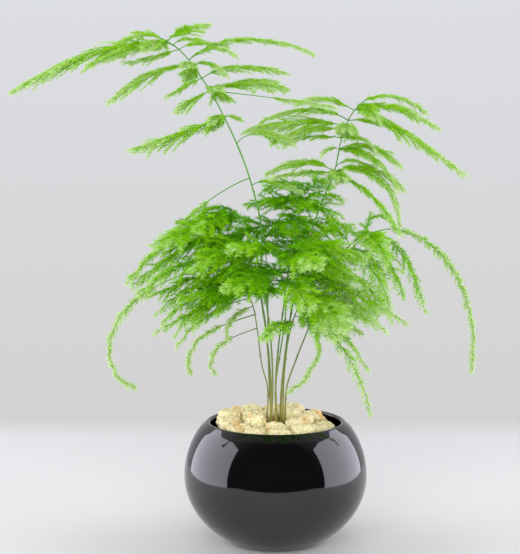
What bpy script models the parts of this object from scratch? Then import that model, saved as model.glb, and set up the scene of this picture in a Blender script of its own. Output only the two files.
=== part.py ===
"""Potted lace fern in a round glazed bowl, with pale stones over the soil.

The part is made in metres with +Z up. The origin is the centre of the bowl's flat foot and
the front of the plant looks along -Y. The tables below are in millimetres, as measured.

Pieces: the bowl, the soil in it, the stones on the soil and nine leafy stems. Each stem is
one closed solid: a tapered shoot with its fronds, which are thin arched blades whose
leaflets are cut to the rib.
"""
import math
import random
from typing import NamedTuple

import bmesh
import bpy
import numpy as np
from mathutils import Matrix, Vector
from mathutils.kdtree import KDTree

MM = 0.001
GAP = 0.3
SEED = 1
TINY = 1e-6

# Bowl, millimetres
BELLY_RADIUS = 60.0
BELLY_HEIGHT = 45.0
OUTER_RISE = 56.3
OUTER_FALL = 49.9
INNER_RADIUS = 56.0
INNER_RISE = 51.7
INNER_FALL = 45.9
OUTER_HEIGHTS = (0.0, 4.0, 12.0, 27.0, 45.0, 60.0, 71.0, 79.2)
FLOOR_HEIGHT = 5.0
LIP_POINTS = ((45.9, 80.5), (44.2, 81.0), (42.5, 80.7))
INNER_HEIGHTS = (79.6, 75.0, 69.0, 58.0, 45.0, 30.0, 15.0, 5.0)
WALL_SLACK = 0.1
TURN_SIDES = 32

# Soil and stones, millimetres
SOIL_TOP = 69.0
HOLE_FLOOR = 61.6
HOLE_CLEARANCE = 0.5
HOLE_SIDES = 8
STONE_FIELD_RADIUS = 39.5
STONE_RINGS = ((7, 16.0, 0.0), (14, 31.5, 0.5))
STONE_UNEVEN = 0.25
STONE_WANDER = 1.5
STONE_GAP = 0.3
STONE_BLOCKINESS = 1.25
STONE_FLATNESS = 1.15
STONE_BUMPS = (0.84, 1.0)
STONE_HEIGHT = 17.5
STONE_HEIGHT_VARIES = 1.2
FRONT_LOWER = 3.0
FRONT_FROM = -6.0
FRONT_DEPTH = 14.0
RIGHT_LOWER = 9.0
RIGHT_FROM = 24.0
RIGHT_DEPTH = 8.0
CROWN = (0.6, -0.4)

# Leafy stems, millimetres
CURVE_STEPS = 60
CURVE_GRAIN = 20
RING_EVERY = 6
SHOOT_OVERRUN = 1.2
SHOOT_SIDES = 5
SHOOT_TIP_RADIUS = 0.7
BLADE_HALF_THICKNESS = 0.32
RIB_HALF_WIDTH = 0.8
RIB_TAPER = 0.5
SEGMENT_LENGTH = 12.8
LEAFLET_LEAN = 0.75
LEAFLET_ARCH = 0.12
REACH_AT_ROOT = 0.45
REACH_GROWTH = 1.8
REACH_TAPER = 0.6
MIN_SEGMENTS = 3
STEM_CLEARANCE = 2.4
SPREAD_STEP = 1.5
ROOM_ENOUGH = 12.0
DRAWS = 150
DRAWN_TILT = (4.0, 28.0)
CROWN_LEAN = 0.12
CROWN_SHARE = 0.93
WELD = 0.001
FLAT_ANGLE = math.radians(1.0)
SHARP_ANGLE = math.radians(35.0)


# Outline of the dense crown seen from the front, as (x, z); it leans back a little
CROWN_OUTLINE = (
    (-97, 171), (-81, 190), (-62, 212), (-39, 224), (-17, 231), (6, 237), (36, 234), (39, 218),
    (62, 217), (79, 202), (79, 161), (71, 140), (42, 133), (15, 141), (8, 158), (-9, 163),
    (-75, 162),
)


class Spray(NamedTuple):
    """One frond: where it leaves the stem and how it runs.

    at is the share of the stem's length, heading the compass angle in degrees from +X,
    rise and droop the slope in degrees at the root and at the tip, ease how late the slope
    changes, bare the share of the frond without leaflets and tilt how many degrees the side
    towards the front hangs down.
    """

    at: float
    heading: float
    length: float
    rise: float
    droop: float
    width: float
    ease: float = 1.0
    bare: float = 0.1
    tilt: float = 0.0


class Stem(NamedTuple):
    """One shoot: its foot radius, the points it passes and its fronds."""

    name: str
    foot_radius: float
    points: tuple
    sprays: tuple


class Thicket(NamedTuple):
    """A dense stretch of one stem: how many fronds are drawn there, and from which ranges."""

    stem: str
    count: int
    at: tuple
    heading: tuple
    length: tuple
    rise: tuple
    droop: tuple
    width: tuple


STEMS = (
    Stem("tall_left", 1.3, (
        (-3, -1, 62), (-3, -1, 72), (-3, -1, 102), (-6, -3, 139), (-10, -4, 170), (-9, -4, 205),
        (-16, -3, 237), (-26, -2, 264), (-40, 0, 292), (-54, 1, 313), (-63, 2, 323),
        (-70, 3, 327)
    ), (
        Spray(0.62, 10, 33, 42, -32, 14, ease=0.5, tilt=15),
        Spray(0.63, 190, 98, -14, -52, 10, ease=0.5, bare=0.3, tilt=6),
        Spray(0.72, -25, 41, 66, -30, 20, ease=0.5, bare=0.2, tilt=14),
        Spray(0.78, 195, 62, -20, -14, 24, ease=3, tilt=14),
        Spray(0.78, 20, 9, 24, -20, 10, ease=0.5, tilt=6),
        Spray(0.78, 108, 34, -4, -26, 18, tilt=4),
        Spray(0.78, 255, 28, 8, -16, 14),
        Spray(0.85, 188, 23, -26, -34, 16, ease=3, tilt=15),
        Spray(0.85, 12, 50, 18, -20, 26, ease=1.4, tilt=15),
        Spray(0.85, -15, 80, -4, -8, 8, ease=0.5, bare=0.5, tilt=6),
        Spray(0.85, 75, 34, 0, -20, 20, tilt=4),
        Spray(0.85, 282, 30, 16, -8, 16),
        Spray(0.88, 192, 23, -18, -30, 10, ease=0.5, tilt=6),
        Spray(0.88, 10, 55, 44, -16, 16, ease=0.5, tilt=15),
        Spray(0.92, 188, 58, 14, -40, 22, ease=0.5, tilt=15),
        Spray(0.92, -30, 24, 50, -38, 8, ease=0.5, tilt=6),
        Spray(0.92, 98, 36, -4, -24, 18, tilt=4),
        Spray(0.92, 262, 28, 14, -12, 14),
        Spray(0.93, 14, 85, 56, -22, 12, ease=0.5, bare=0.15, tilt=6),
        Spray(0.93, -20, 32, 40, -34, 8, ease=1.3, tilt=6),
        Spray(0.97, 190, 33, -16, -10, 12, ease=3, tilt=6),
        Spray(0.97, 8, 30, 44, -14, 10, ease=0.5, tilt=6),
        Spray(0.98, 30, 27, 56, -24, 8, ease=0.5, tilt=6),
        Spray(1, 200, 52, -2, -22, 18, ease=0.5, tilt=14),
        Spray(1, 178, 105, 8, -30, 32, ease=0.5, bare=0.05, tilt=15),
        Spray(1, 55, 44, 36, 6, 20, ease=0.5, tilt=9),
        Spray(1, 150, 40, 46, -24, 18, ease=0.5, tilt=13),
        Spray(1, 104, 34, 8, -22, 16),
        Spray(1, 248, 32, 8, -26, 16),
    )),
    Stem("tall_right", 1.3, (
        (3.4, 4.6, 62), (3.4, 4.6, 72), (4, 6, 101), (8, 8, 136), (13, 8, 166), (21, 7, 199),
        (32, 5, 229), (38, 4, 244), (42, 2, 264), (48, 0, 280), (53, -2, 286)
    ), (
        Spray(0.8, 176, 45, 56, -28, 18, ease=0.5, tilt=15),
        Spray(0.8, 205, 43, 4, -16, 12, ease=1.9, tilt=6),
        Spray(0.8, 9, 49, 46, -42, 20, ease=0.5, tilt=15),
        Spray(0.8, -30, 60, -12, -56, 10, ease=0.7, tilt=6),
        Spray(0.8, -8, 62, 28, -88, 14, ease=0.8, tilt=15),
        Spray(0.8, 82, 38, 0, -24, 20, tilt=4),
        Spray(0.8, 276, 32, 12, -16, 18),
        Spray(0.82, 25, 28, 62, -34, 6, ease=0.5, tilt=6),
        Spray(0.87, 8, 43, 42, -42, 20, ease=0.5, tilt=15),
        Spray(0.87, -14, 47, 8, -64, 12, ease=0.8, tilt=6),
        Spray(0.87, 185, 10, 42, -40, 10, ease=0.5, tilt=6),
        Spray(0.87, 58, 34, 4, -22, 18),
        Spray(0.9, 186, 36, 4, -34, 8, ease=3, tilt=6),
        Spray(0.9, -10, 22, 4, -48, 10, ease=1.5, tilt=6),
        Spray(0.92, 195, 48, 30, -26, 18, ease=0.5, tilt=14),
        Spray(0.93, 172, 65, 16, -16, 28, ease=0.7, tilt=15),
        Spray(0.93, 84, 40, 0, -24, 22, tilt=4),
        Spray(0.93, 268, 34, 12, -16, 18),
        Spray(0.95, 160, 62, 34, -30, 14, ease=0.8, tilt=14),
        Spray(0.95, 20, 35, 6, -22, 22, ease=1.1, tilt=14),
        Spray(0.98, 184, 37, 30, -24, 14, ease=1.5, tilt=15),
        Spray(0.98, 8, 57, 38, -36, 18, ease=0.5, tilt=15),
        Spray(1, 30, 54, 58, -34, 8, ease=0.5, tilt=6),
        Spray(1, -12, 78, -24, -36, 18, ease=0.5, tilt=15),
        Spray(1, 74, 38, 8, -24, 18),
        Spray(1, 286, 34, 6, -30, 16),
    )),
    Stem("right", 1.0, (
        (6.5, 0.6, 62), (6.5, 0.6, 72), (7, 0, 101), (13, -2, 121), (19, -4, 137), (30, -8, 165),
        (43, -10, 192), (55, -10, 203), (67, -10, 207)
    ), (
        Spray(0.72, -20, 57, -28, -24, 10, ease=3, tilt=6),
        Spray(0.75, 0, 52, -16, -74, 18, ease=1.3, tilt=15),
        Spray(0.82, -50, 62, 8, -82, 18, tilt=10),
        Spray(0.83, 15, 40, 52, -80, 22, ease=0.5, tilt=14),
        Spray(0.87, 150, 31, 80, -38, 22, ease=0.7, tilt=13),
        Spray(0.93, -35, 49, -10, -72, 20, ease=0.5, tilt=12),
        Spray(0.93, 30, 34, 80, -84, 12, ease=1.3, tilt=6),
        Spray(0.98, -15, 61, -16, -78, 16, ease=0.5, tilt=14),
        Spray(1, 2, 125, 28, -98, 16, ease=0.5, tilt=15),
    )),
    Stem("low_right", 1.0, (
        (5, -4, 62), (5, -4, 72), (5, -6, 102), (7, -12, 130), (11, -18, 150), (17, -22, 164),
        (24, -26, 171)
    ), (
        Spray(0.77, 251, 60, 8, -12, 16, ease=0.8, tilt=5),
        Spray(0.83, -25, 68, 4, -154, 8, ease=0.6, bare=0.25, tilt=6),
        Spray(0.87, -10, 84, -30, -76, 12, ease=0.8, bare=0.3, tilt=6),
        Spray(0.9, 15, 64, -40, -66, 12, ease=3, bare=0.2, tilt=6),
        Spray(0.9, -40, 36, 0, -76, 22, tilt=11),
        Spray(0.97, -20, 54, -14, -28, 20, ease=0.5, tilt=14),
        Spray(1, 5, 33, 6, -102, 24, ease=1.8),
    )),
    Stem("left", 1.1, (
        (-4, -5.2, 62), (-4, -5.2, 72), (-2, -7, 103), (-3, -10, 133), (-6, -13, 159),
        (-10, -15, 182), (-17, -17, 202), (-25, -18, 218)
    ), (
        Spray(0.73, 212, 61, -4, -14, 24, ease=0.5, tilt=13),
        Spray(0.78, 172, 76, -2, -26, 28, ease=0.5, tilt=15),
        Spray(0.83, 196, 151, -14, -164, 14, ease=3, bare=0.45, tilt=14),
        Spray(0.85, 202, 82, 10, -32, 30, ease=0.5, tilt=14),
        Spray(0.92, 180, 82, 6, -40, 28, ease=0.5, tilt=15),
        Spray(0.97, 190, 84, 20, -50, 16, ease=0.5, tilt=8),
        Spray(1, 178, 27, 54, -48, 18, ease=0.8, tilt=15),
        Spray(1, 215, 41, -18, -66, 20, tilt=12),
    )),
    Stem("low_left", 0.9, (
        (-6.5, 2.2, 62), (-6.5, 2.2, 72), (-5, 4, 100), (-9, 6, 117), (-12, 8, 140),
        (-15, 10, 156), (-21, 12, 168)
    ), (
        Spray(0.73, 176, 48, -20, -130, 10, ease=2.8, bare=0.35, tilt=6),
        Spray(0.82, 190, 65, -16, -122, 10, ease=2.9, bare=0.35, tilt=6),
        Spray(0.87, 205, 30, -10, -98, 14, ease=1.4, tilt=14),
        Spray(0.92, 166, 61, -8, -54, 12, ease=0.8, bare=0.2, tilt=6),
        Spray(0.93, 183, 58, 6, -62, 20, tilt=14),
        Spray(0.95, 196, 62, 12, -44, 22, tilt=16),
        Spray(0.97, 180, 66, -14, -30, 14, ease=0.5, bare=0.2, tilt=15),
        Spray(1, 172, 64, 16, -52, 22, tilt=16),
        Spray(1, 204, 48, 4, -76, 20, tilt=12),
        Spray(1, 240, 36, 10, -60, 20, tilt=8),
        Spray(1, 140, 38, 10, -50, 20, tilt=8),
    )),
    Stem("middle", 1.1, (
        (1.2, 1, 62), (1.2, 1, 72), (0, 2, 104), (2, 3, 131), (5, 4, 154), (8, 12, 176),
        (12, 18, 198), (18, 22, 225)
    ), (
        Spray(0.93, 172, 37, 46, -20, 24, ease=0.9, tilt=15),
        Spray(0.97, -12, 33, 38, -90, 26, ease=0.8, tilt=15),
        Spray(1, 0, 27, 44, -22, 18, ease=0.5, tilt=15),
        Spray(1, 150, 35, 60, -42, 18, ease=0.9, tilt=13),
        Spray(0.98, 100, 26, 60, 5, 16, ease=0.8, tilt=6),
        Spray(1, 60, 43, 34, -40, 20, ease=1.8, tilt=8),
    )),
    Stem("front", 1.0, (
        (0.8, -5.4, 62), (0.8, -5.4, 72), (0, -9, 106), (3, -15, 130), (6, -23, 154),
        (4, -34, 178), (0, -46, 198)
    ), ()),
    Stem("back", 1.0, (
        (-2.2, 3.6, 62), (-2.2, 3.6, 72), (-4, 7, 101), (-5, 14, 129), (-5, 26, 157),
        (-6, 42, 182), (-9, 56, 204)
    ), ()),
)

THICKETS = (
    Thicket("front", 12, (0.5, 1), (170, 370), (38, 62), (-5, 30), (-55, -10), (26, 36)),
    Thicket("back", 11, (0.5, 1), (0, 180), (38, 62), (-5, 30), (-50, -10), (26, 36)),
    Thicket("middle", 6, (0.55, 1), (60, 200), (32, 54), (-5, 25), (-50, -10), (24, 34)),
    Thicket("middle", 5, (0.55, 1), (-60, 60), (32, 52), (-5, 25), (-50, -10), (24, 34)),
    Thicket("middle", 4, (0.9, 1), (0, 360), (26, 38), (20, 50), (-45, -5), (22, 30)),
    Thicket("left", 7, (0.5, 0.98), (130, 250), (44, 76), (0, 25), (-40, -10), (26, 34)),
    Thicket("low_right", 6, (0.6, 1), (-100, 40), (32, 48), (-5, 25), (-50, -10), (24, 32)),
    Thicket("right", 4, (0.5, 0.95), (-90, 90), (32, 52), (-5, 25), (-60, -20), (22, 30)),
)


def smooth_curve(points):
    """Evenly spaced points on a smooth curve through the given ones."""
    given = np.array(points, float)
    held = np.vstack([2 * given[0] - given[1], given, 2 * given[-1] - given[-2]])
    dense = []
    for a, b, c, d in zip(held, held[1:], held[2:], held[3:]):
        for t in np.linspace(0.0, 1.0, CURVE_GRAIN, endpoint=False):
            dense.append(0.5 * (2 * b + (c - a) * t + (2 * a - 5 * b + 4 * c - d) * t**2
                                + (3 * b - a - 3 * c + d) * t**3))
    dense = np.array(dense + [given[-1]])
    run = np.concatenate([[0.0], np.cumsum(np.linalg.norm(np.diff(dense, axis=0), axis=1))])
    even = np.linspace(0.0, run[-1], CURVE_STEPS + 1)
    return np.stack([np.interp(even, run, dense[:, k]) for k in range(3)], axis=1)


def frond_line(root, spray, steps):
    """Centre line of a frond with its forward, sideways and upward directions."""
    middle = (np.arange(steps) + 0.5) / steps
    slope = np.radians(spray.rise + (spray.droop - spray.rise) * middle**spray.ease)
    heading = math.radians(spray.heading)
    ahead = np.stack([np.cos(slope) * math.cos(heading), np.cos(slope) * math.sin(heading),
                      np.sin(slope)], axis=1)
    line = np.vstack([root, root + np.cumsum(ahead, axis=0) * spray.length / steps])
    forward = np.vstack([ahead[:1], (ahead[:-1] + ahead[1:]) / 2, ahead[-1:]])
    forward /= np.linalg.norm(forward, axis=1)[:, None]
    level = np.array([-math.sin(heading), math.cos(heading), 0.0])
    lean = math.copysign(math.radians(spray.tilt), level[1])
    side = level * math.cos(lean) + np.cross(forward, level) * math.sin(lean)
    return line, forward, side, np.cross(forward, side)


def leaflet_reach(share, spray):
    """Half width of the frond at a share of its length, widest a third of the way out."""
    out = (share - spray.bare) / (1.0 - spray.bare)
    opening = min(1.0, REACH_AT_ROOT + REACH_GROWTH * out)
    return 0.5 * spray.width * opening * (1.0 - out) ** REACH_TAPER


def blade_points(root, spray):
    """Rib points and leaflet tips of a frond, in millimetres."""
    steps = max(MIN_SEGMENTS, round(spray.length / SEGMENT_LENGTH))
    line, forward, side, up = frond_line(root, spray, steps)
    ribs, tips = [], []
    for i in range(steps):
        half = RIB_HALF_WIDTH * (1.0 - RIB_TAPER * i / steps)
        ribs.append([line[i] + sign * half * side[i] for sign in (1, -1)])
        share = (i + 0.5) / steps
        if i == steps - 1 or share <= spray.bare:
            tips.append(None)
            continue
        reach = leaflet_reach(share, spray)
        base = (line[i] + line[i + 1]) / 2 + forward[i] * LEAFLET_LEAN * reach
        tips.append([base + sign * (reach + half) * side[i] - LEAFLET_ARCH * reach * up[i]
                     for sign in (1, -1)])
    return ribs, tips, line[-1], up


def blade_faces(mesh, ribs, tips, end, up):
    """Add one closed blade to a bmesh: rib and leaflets with the same split on both faces."""
    def pair(point, lift):
        """Vertex above and vertex below a point of the blade."""
        return [mesh.verts.new((point + sign * BLADE_HALF_THICKNESS * lift) * MM)
                for sign in (1, -1)]

    def slab(a, b, c):
        """The upper and the lower triangle over three vertex pairs."""
        mesh.faces.new((a[0], b[0], c[0]))
        mesh.faces.new((a[1], c[1], b[1]))

    def wall(a, b):
        """The thin wall below an outer edge."""
        mesh.faces.new((a[0], b[0], b[1]))
        mesh.faces.new((a[0], b[1], a[1]))

    rows = [[pair(point, up[i]) for point in row] for i, row in enumerate(ribs)]
    wall(rows[0][1], rows[0][0])
    for i in range(len(rows) - 1):
        (left, right), (next_left, next_right) = rows[i], rows[i + 1]
        slab(left, right, next_right)
        slab(left, next_right, next_left)
        if tips[i] is None:
            wall(left, next_left)
            wall(next_right, right)
            continue
        left_tip, right_tip = (pair(tip, up[i]) for tip in tips[i])
        slab(left, next_left, left_tip)
        wall(left, left_tip)
        wall(left_tip, next_left)
        slab(right, right_tip, next_right)
        wall(next_right, right_tip)
        wall(right_tip, right)
    left, right = rows[-1]
    point = pair(end, up[-1])
    slab(left, right, point)
    wall(left, point)
    wall(point, right)


def spread_points(curve, spray):
    """Points all over a frond, close enough together to measure distances between fronds."""
    ribs, tips, end, _ = blade_points(curve[round(spray.at * CURVE_STEPS)], spray)
    found = []
    for i, (row, ahead) in enumerate(zip(ribs, ribs[1:] + [[end, end]])):
        for k in (0, 1):
            lines = [(row[k], ahead[k])]
            if tips[i] is not None:
                lines += [(start, tips[i][k]) for start in (row[k], ahead[k],
                                                            (row[k] + ahead[k]) / 2)]
            for start, stop in lines:
                count = 1 + int(np.linalg.norm(stop - start) / SPREAD_STEP)
                found += [start + (stop - start) * t for t in np.linspace(0, 1, count + 1)]
    return found


def shoot_points(curve):
    """Points along a shoot, four to each step of its curve."""
    steps = curve[1:] - curve[:-1]
    return [point for t in (0.0, 0.25, 0.5, 0.75) for point in curve[:-1] + steps * t]


def nearest_tree(points):
    """Search tree over points."""
    tree = KDTree(len(points))
    for i, point in enumerate(points):
        tree.insert(point, i)
    tree.balance()
    return tree


def drawn_spray(rng, thicket):
    """One frond drawn from the ranges of a thicket."""
    return Spray(round(rng.uniform(*thicket.at), 2), rng.uniform(*thicket.heading),
                 rng.uniform(*thicket.length), rng.uniform(*thicket.rise),
                 rng.uniform(*thicket.droop), rng.uniform(*thicket.width),
                 tilt=rng.uniform(*DRAWN_TILT))


def share_in_crown(root, spray):
    """Share of a frond's corners that lie inside the crown's outline seen from the front."""
    ribs, tips, end, _ = blade_points(root, spray)
    corners = np.array([point for row in ribs + [tip for tip in tips if tip] for point in row]
                       + [end])
    across, height = corners[:, 0], corners[:, 2] + CROWN_LEAN * corners[:, 1]
    inside = np.zeros(len(corners), bool)
    for (ax, az), (bx, bz) in zip(CROWN_OUTLINE, CROWN_OUTLINE[1:] + CROWN_OUTLINE[:1]):
        between = (az > height) != (bz > height)
        slope = (bx - ax) / (bz - az) if bz != az else 0.0
        inside ^= between & (across < ax + slope * (height - az))
    return inside.mean()


def filled_stems():
    """The stems with their hand-placed fronds and those drawn for the thickets.

    A drawn frond stays inside the crown's outline, keeps clear of the other stems and, as
    far as it can, of its own.
    """
    rng = random.Random(SEED)
    curves = {stem.name: smooth_curve(stem.points) for stem in STEMS}
    fronds = {stem.name: list(stem.sprays) for stem in STEMS}
    spread = {name: [point for spray in fronds[name] for point in spread_points(curve, spray)]
              for name, curve in curves.items()}
    for thicket in THICKETS:
        name = thicket.stem
        others = nearest_tree([point for other in curves if other != name
                               for point in [*shoot_points(curves[other]), *spread[other]]])
        for _ in range(thicket.count):
            own = nearest_tree(spread[name] or [curves[name][0]])
            best = (0.0, None, None)
            for _ in range(DRAWS):
                spray = drawn_spray(rng, thicket)
                root = curves[name][round(spray.at * CURVE_STEPS)]
                if share_in_crown(root, spray) < CROWN_SHARE:
                    continue
                points = spread_points(curves[name], spray)
                if min(others.find(point)[2] for point in points) < STEM_CLEARANCE:
                    continue
                outer = points[len(points) // 3:]
                room = sum(min(own.find(point)[2], ROOM_ENOUGH) for point in outer) / len(outer)
                if room > best[0]:
                    best = (room, spray, points)
            if best[1]:
                fronds[name].append(best[1])
                spread[name] += best[2]
    return [stem._replace(sprays=tuple(fronds[stem.name])) for stem in STEMS]


def shoot_rings(stem, curve):
    """Rings of the tapered shoot, in millimetres."""
    picks = sorted({*range(0, CURVE_STEPS + 1, RING_EVERY),
                    *(round(spray.at * CURVE_STEPS) for spray in stem.sprays)})
    tangent = np.gradient(curve, axis=0)
    across = np.array([1.0, 0.0, 0.0])
    rings = []
    for i in picks:
        ahead = tangent[i] / np.linalg.norm(tangent[i])
        across = across - ahead * (across @ ahead)
        across /= np.linalg.norm(across)
        other = np.cross(ahead, across)
        share = i / CURVE_STEPS
        radius = stem.foot_radius * (1 - share) + SHOOT_TIP_RADIUS * share
        turn = np.linspace(0, 2 * np.pi, SHOOT_SIDES, endpoint=False)
        rings.append([curve[i] + radius * (math.cos(t) * across + math.sin(t) * other)
                      for t in turn])
    rings[-1] = [point + ahead * SHOOT_OVERRUN for point in rings[-1]]
    return rings


def ring_tube(mesh, rings):
    """Add a closed tube through rings of points given in millimetres."""
    rows = [[mesh.verts.new(point * MM) for point in ring] for ring in rings]
    for low, high in zip(rows, rows[1:]):
        for k in range(-1, len(low) - 1):
            mesh.faces.new((low[k], low[k + 1], high[k + 1], high[k]))
    mesh.faces.new(list(reversed(rows[0])))
    mesh.faces.new(rows[-1])


def finished_mesh(name, mesh):
    """Turn a bmesh into mesh data with triangles that face outward."""
    bmesh.ops.triangulate(mesh, faces=mesh.faces)
    bmesh.ops.recalc_face_normals(mesh, faces=mesh.faces)
    data = bpy.data.meshes.new(name)
    mesh.to_mesh(data)
    mesh.free()
    return data


def shade_round(made):
    """Shade the round faces of an object smooth and keep its corners sharp."""
    made.data.shade_smooth()
    made.data.set_sharp_from_angle(angle=SHARP_ANGLE)
    return made


def new_object(name, data, collection=None):
    """Link a new object to a collection, or to the scene."""
    made = bpy.data.objects.new(name, data)
    (collection or bpy.context.scene.collection).objects.link(made)
    return made


def applied_boolean(target, operation, collection):
    """Apply one Boolean with a collection to an object and remove the collection."""
    cut = target.modifiers.new("join", "BOOLEAN")
    cut.operation = operation
    cut.operand_type = "COLLECTION"
    cut.collection = collection
    cut.solver = "EXACT"
    bpy.context.view_layer.update()
    seen = target.evaluated_get(bpy.context.evaluated_depsgraph_get())
    result = bpy.data.meshes.new_from_object(seen)
    target.modifiers.clear()
    target.data = result
    for helper in list(collection.objects):
        bpy.data.objects.remove(helper)
    bpy.data.collections.remove(collection)
    mesh = bmesh.new()
    mesh.from_mesh(result)
    bmesh.ops.remove_doubles(mesh, verts=mesh.verts, dist=WELD * MM)
    bmesh.ops.dissolve_degenerate(mesh, edges=mesh.edges, dist=WELD * MM)
    bmesh.ops.dissolve_limit(mesh, angle_limit=FLAT_ANGLE, verts=mesh.verts, edges=mesh.edges)
    target.data = finished_mesh(target.name, mesh)
    return target


def helper_collection(name):
    """A collection for the pieces that one Boolean uses up."""
    collection = bpy.data.collections.new(name)
    bpy.context.scene.collection.children.link(collection)
    return collection


def leafy_stem(stem):
    """One shoot with its fronds, as a single closed solid."""
    curve = smooth_curve(stem.points)
    mesh = bmesh.new()
    ring_tube(mesh, shoot_rings(stem, curve))
    shoot = new_object(stem.name, finished_mesh(stem.name, mesh))
    fronds = helper_collection(stem.name + "_fronds")
    for spray in stem.sprays:
        mesh = bmesh.new()
        blade_faces(mesh, *blade_points(curve[round(spray.at * CURVE_STEPS)], spray))
        helper = new_object("frond", finished_mesh("frond", mesh), fronds)
        helper.hide_render = True
        helper.display_type = "WIRE"
    return applied_boolean(shoot, "UNION", fronds)


def ellipse_radius(height, widest, rise, fall):
    """Radius of the egg-shaped bowl wall at a height."""
    away = height - BELLY_HEIGHT
    return widest * math.sqrt(1.0 - (away / (rise if away > 0 else fall)) ** 2)


def outer_radius(height):
    """Radius of the bowl outside."""
    return ellipse_radius(height, BELLY_RADIUS, OUTER_RISE, OUTER_FALL)


def inner_radius(height):
    """Radius of the bowl inside."""
    return ellipse_radius(height, INNER_RADIUS, INNER_RISE, INNER_FALL)


def turned_solid(name, profile):
    """A closed solid turned round the upright axis; profile runs (radius, height)."""
    mesh = bmesh.new()
    points = [mesh.verts.new((radius * MM, 0.0, height * MM)) for radius, height in profile]
    edges = [mesh.edges.new(ends) for ends in zip(points, points[1:])]
    bmesh.ops.spin(mesh, geom=points + edges, cent=(0, 0, 0), axis=(0, 0, 1),
                   angle=2 * math.pi, steps=TURN_SIDES, use_merge=True)
    bmesh.ops.remove_doubles(mesh, verts=mesh.verts, dist=WELD * MM)
    return new_object(name, finished_mesh(name, mesh))


def bowl():
    """The glazed bowl with its rounded lip."""
    outside = [(outer_radius(z), z) for z in OUTER_HEIGHTS]
    inside = [(inner_radius(z), z) for z in INNER_HEIGHTS]
    profile = [(0.0, 0.0), *outside, *LIP_POINTS, *inside, (0.0, FLOOR_HEIGHT)]
    return turned_solid("bowl", profile)


def soil():
    """The soil inside the bowl, with a plain hole for each stem."""
    sides = [(inner_radius(z) - GAP - WALL_SLACK, max(z, FLOOR_HEIGHT + GAP))
             for z in reversed(INNER_HEIGHTS) if z <= SOIL_TOP]
    profile = [(0.0, sides[0][1]), *sides, (0.0, SOIL_TOP)]
    made = turned_solid("soil", profile)
    holes = helper_collection("soil_holes")
    for stem in STEMS:
        x, y, _ = stem.points[0]
        radius = (stem.foot_radius + HOLE_CLEARANCE) * MM
        depth = 2 * (SOIL_TOP - HOLE_FLOOR) * MM
        mesh = bmesh.new()
        bmesh.ops.create_cone(mesh, cap_ends=True, segments=HOLE_SIDES, radius1=radius,
                              radius2=radius, depth=depth,
                              matrix=Matrix.Translation((x * MM, y * MM, SOIL_TOP * MM)))
        helper = new_object("hole", finished_mesh("hole", mesh), holes)
        helper.hide_render = True
        helper.display_type = "WIRE"
    return applied_boolean(made, "DIFFERENCE", holes)


def stone_centres(rng):
    """Stone places in two rings round the crown, a little uneven."""
    spots = []
    for count, radius, turn in STONE_RINGS:
        for k in range(count):
            angle = 2 * math.pi * (k + turn + STONE_UNEVEN * rng.random()) / count
            away = radius + rng.uniform(-STONE_WANDER, STONE_WANDER)
            spots.append(Vector((CROWN[0] + away * math.cos(angle),
                                 CROWN[1] + away * math.sin(angle))))
    return spots


def reach_inside_cell(centre, direction, others):
    """How far a stone may reach in a level direction before its neighbours' halves."""
    along = centre.dot(direction)
    reach = -along + math.sqrt(along**2 + STONE_FIELD_RADIUS**2 - centre.length_squared)
    for other in others:
        apart = other - centre
        facing = direction.dot(apart)
        if facing > TINY:
            reach = min(reach, (apart.length_squared / 2 - STONE_GAP * apart.length) / facing)
    return reach


def stone(name, centre, others, height, rng):
    """One rough stone that fills its share of the field."""
    mesh = bmesh.new()
    bmesh.ops.create_icosphere(mesh, subdivisions=2, radius=1.0)
    for corner in mesh.verts:
        bump = rng.uniform(*STONE_BUMPS)
        level = Vector((corner.co.x, corner.co.y))
        across = min(1.0, level.length * STONE_BLOCKINESS)
        reach = 0.0
        if level.length > TINY:
            reach = reach_inside_cell(centre, level.normalized(), others) * across * bump
            level.normalize()
        spot = centre + level * reach
        lift = max(-1.0, min(1.0, corner.co.z * STONE_FLATNESS)) * bump
        rise = 0.5 * height * (1 + lift)
        corner.co = Vector((spot.x, spot.y, SOIL_TOP + GAP + rise)) * MM
    return new_object(name, finished_mesh(name, mesh))


def stones():
    """All the stones: low in front of the crown and at the far right, higher elsewhere."""
    rng = random.Random(SEED)
    spots = stone_centres(rng)
    crown = Vector(CROWN)
    for k, spot in enumerate(spots):
        others = [other for other in spots if other is not spot] + [crown]
        front = max(0.0, min(1.0, (FRONT_FROM - spot.y) / FRONT_DEPTH))
        right = max(0.0, min(1.0, (spot.x - RIGHT_FROM) / RIGHT_DEPTH))
        height = STONE_HEIGHT - FRONT_LOWER * front - RIGHT_LOWER * right
        height += rng.uniform(-STONE_HEIGHT_VARIES, STONE_HEIGHT_VARIES)
        yield stone(f"stone_{k + 1:02d}", spot, others, height, rng)


def give_material(made, name, colour, roughness):
    """Give an object a plain material of its own."""
    material = bpy.data.materials.new(name)
    material.use_nodes = True
    shader = material.node_tree.nodes["Principled BSDF"]
    shader.inputs["Base Color"].default_value = (*colour, 1.0)
    shader.inputs["Roughness"].default_value = roughness
    made.data.materials.clear()
    made.data.materials.append(material)


def main():
    """Build every piece of the potted fern."""
    for old in list(bpy.data.objects):
        bpy.data.objects.remove(old)
    give_material(shade_round(bowl()), "black glaze", (0.012, 0.012, 0.012), 0.08)
    give_material(shade_round(soil()), "potting soil", (0.05, 0.035, 0.02), 0.95)
    for made in stones():
        give_material(made, made.name + " tuff", (0.72, 0.62, 0.42), 0.9)
    for stem in filled_stems():
        give_material(leafy_stem(stem), stem.name + " leaf", (0.16, 0.38, 0.05), 0.6)


if __name__ == "__main__":
    main()
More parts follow.
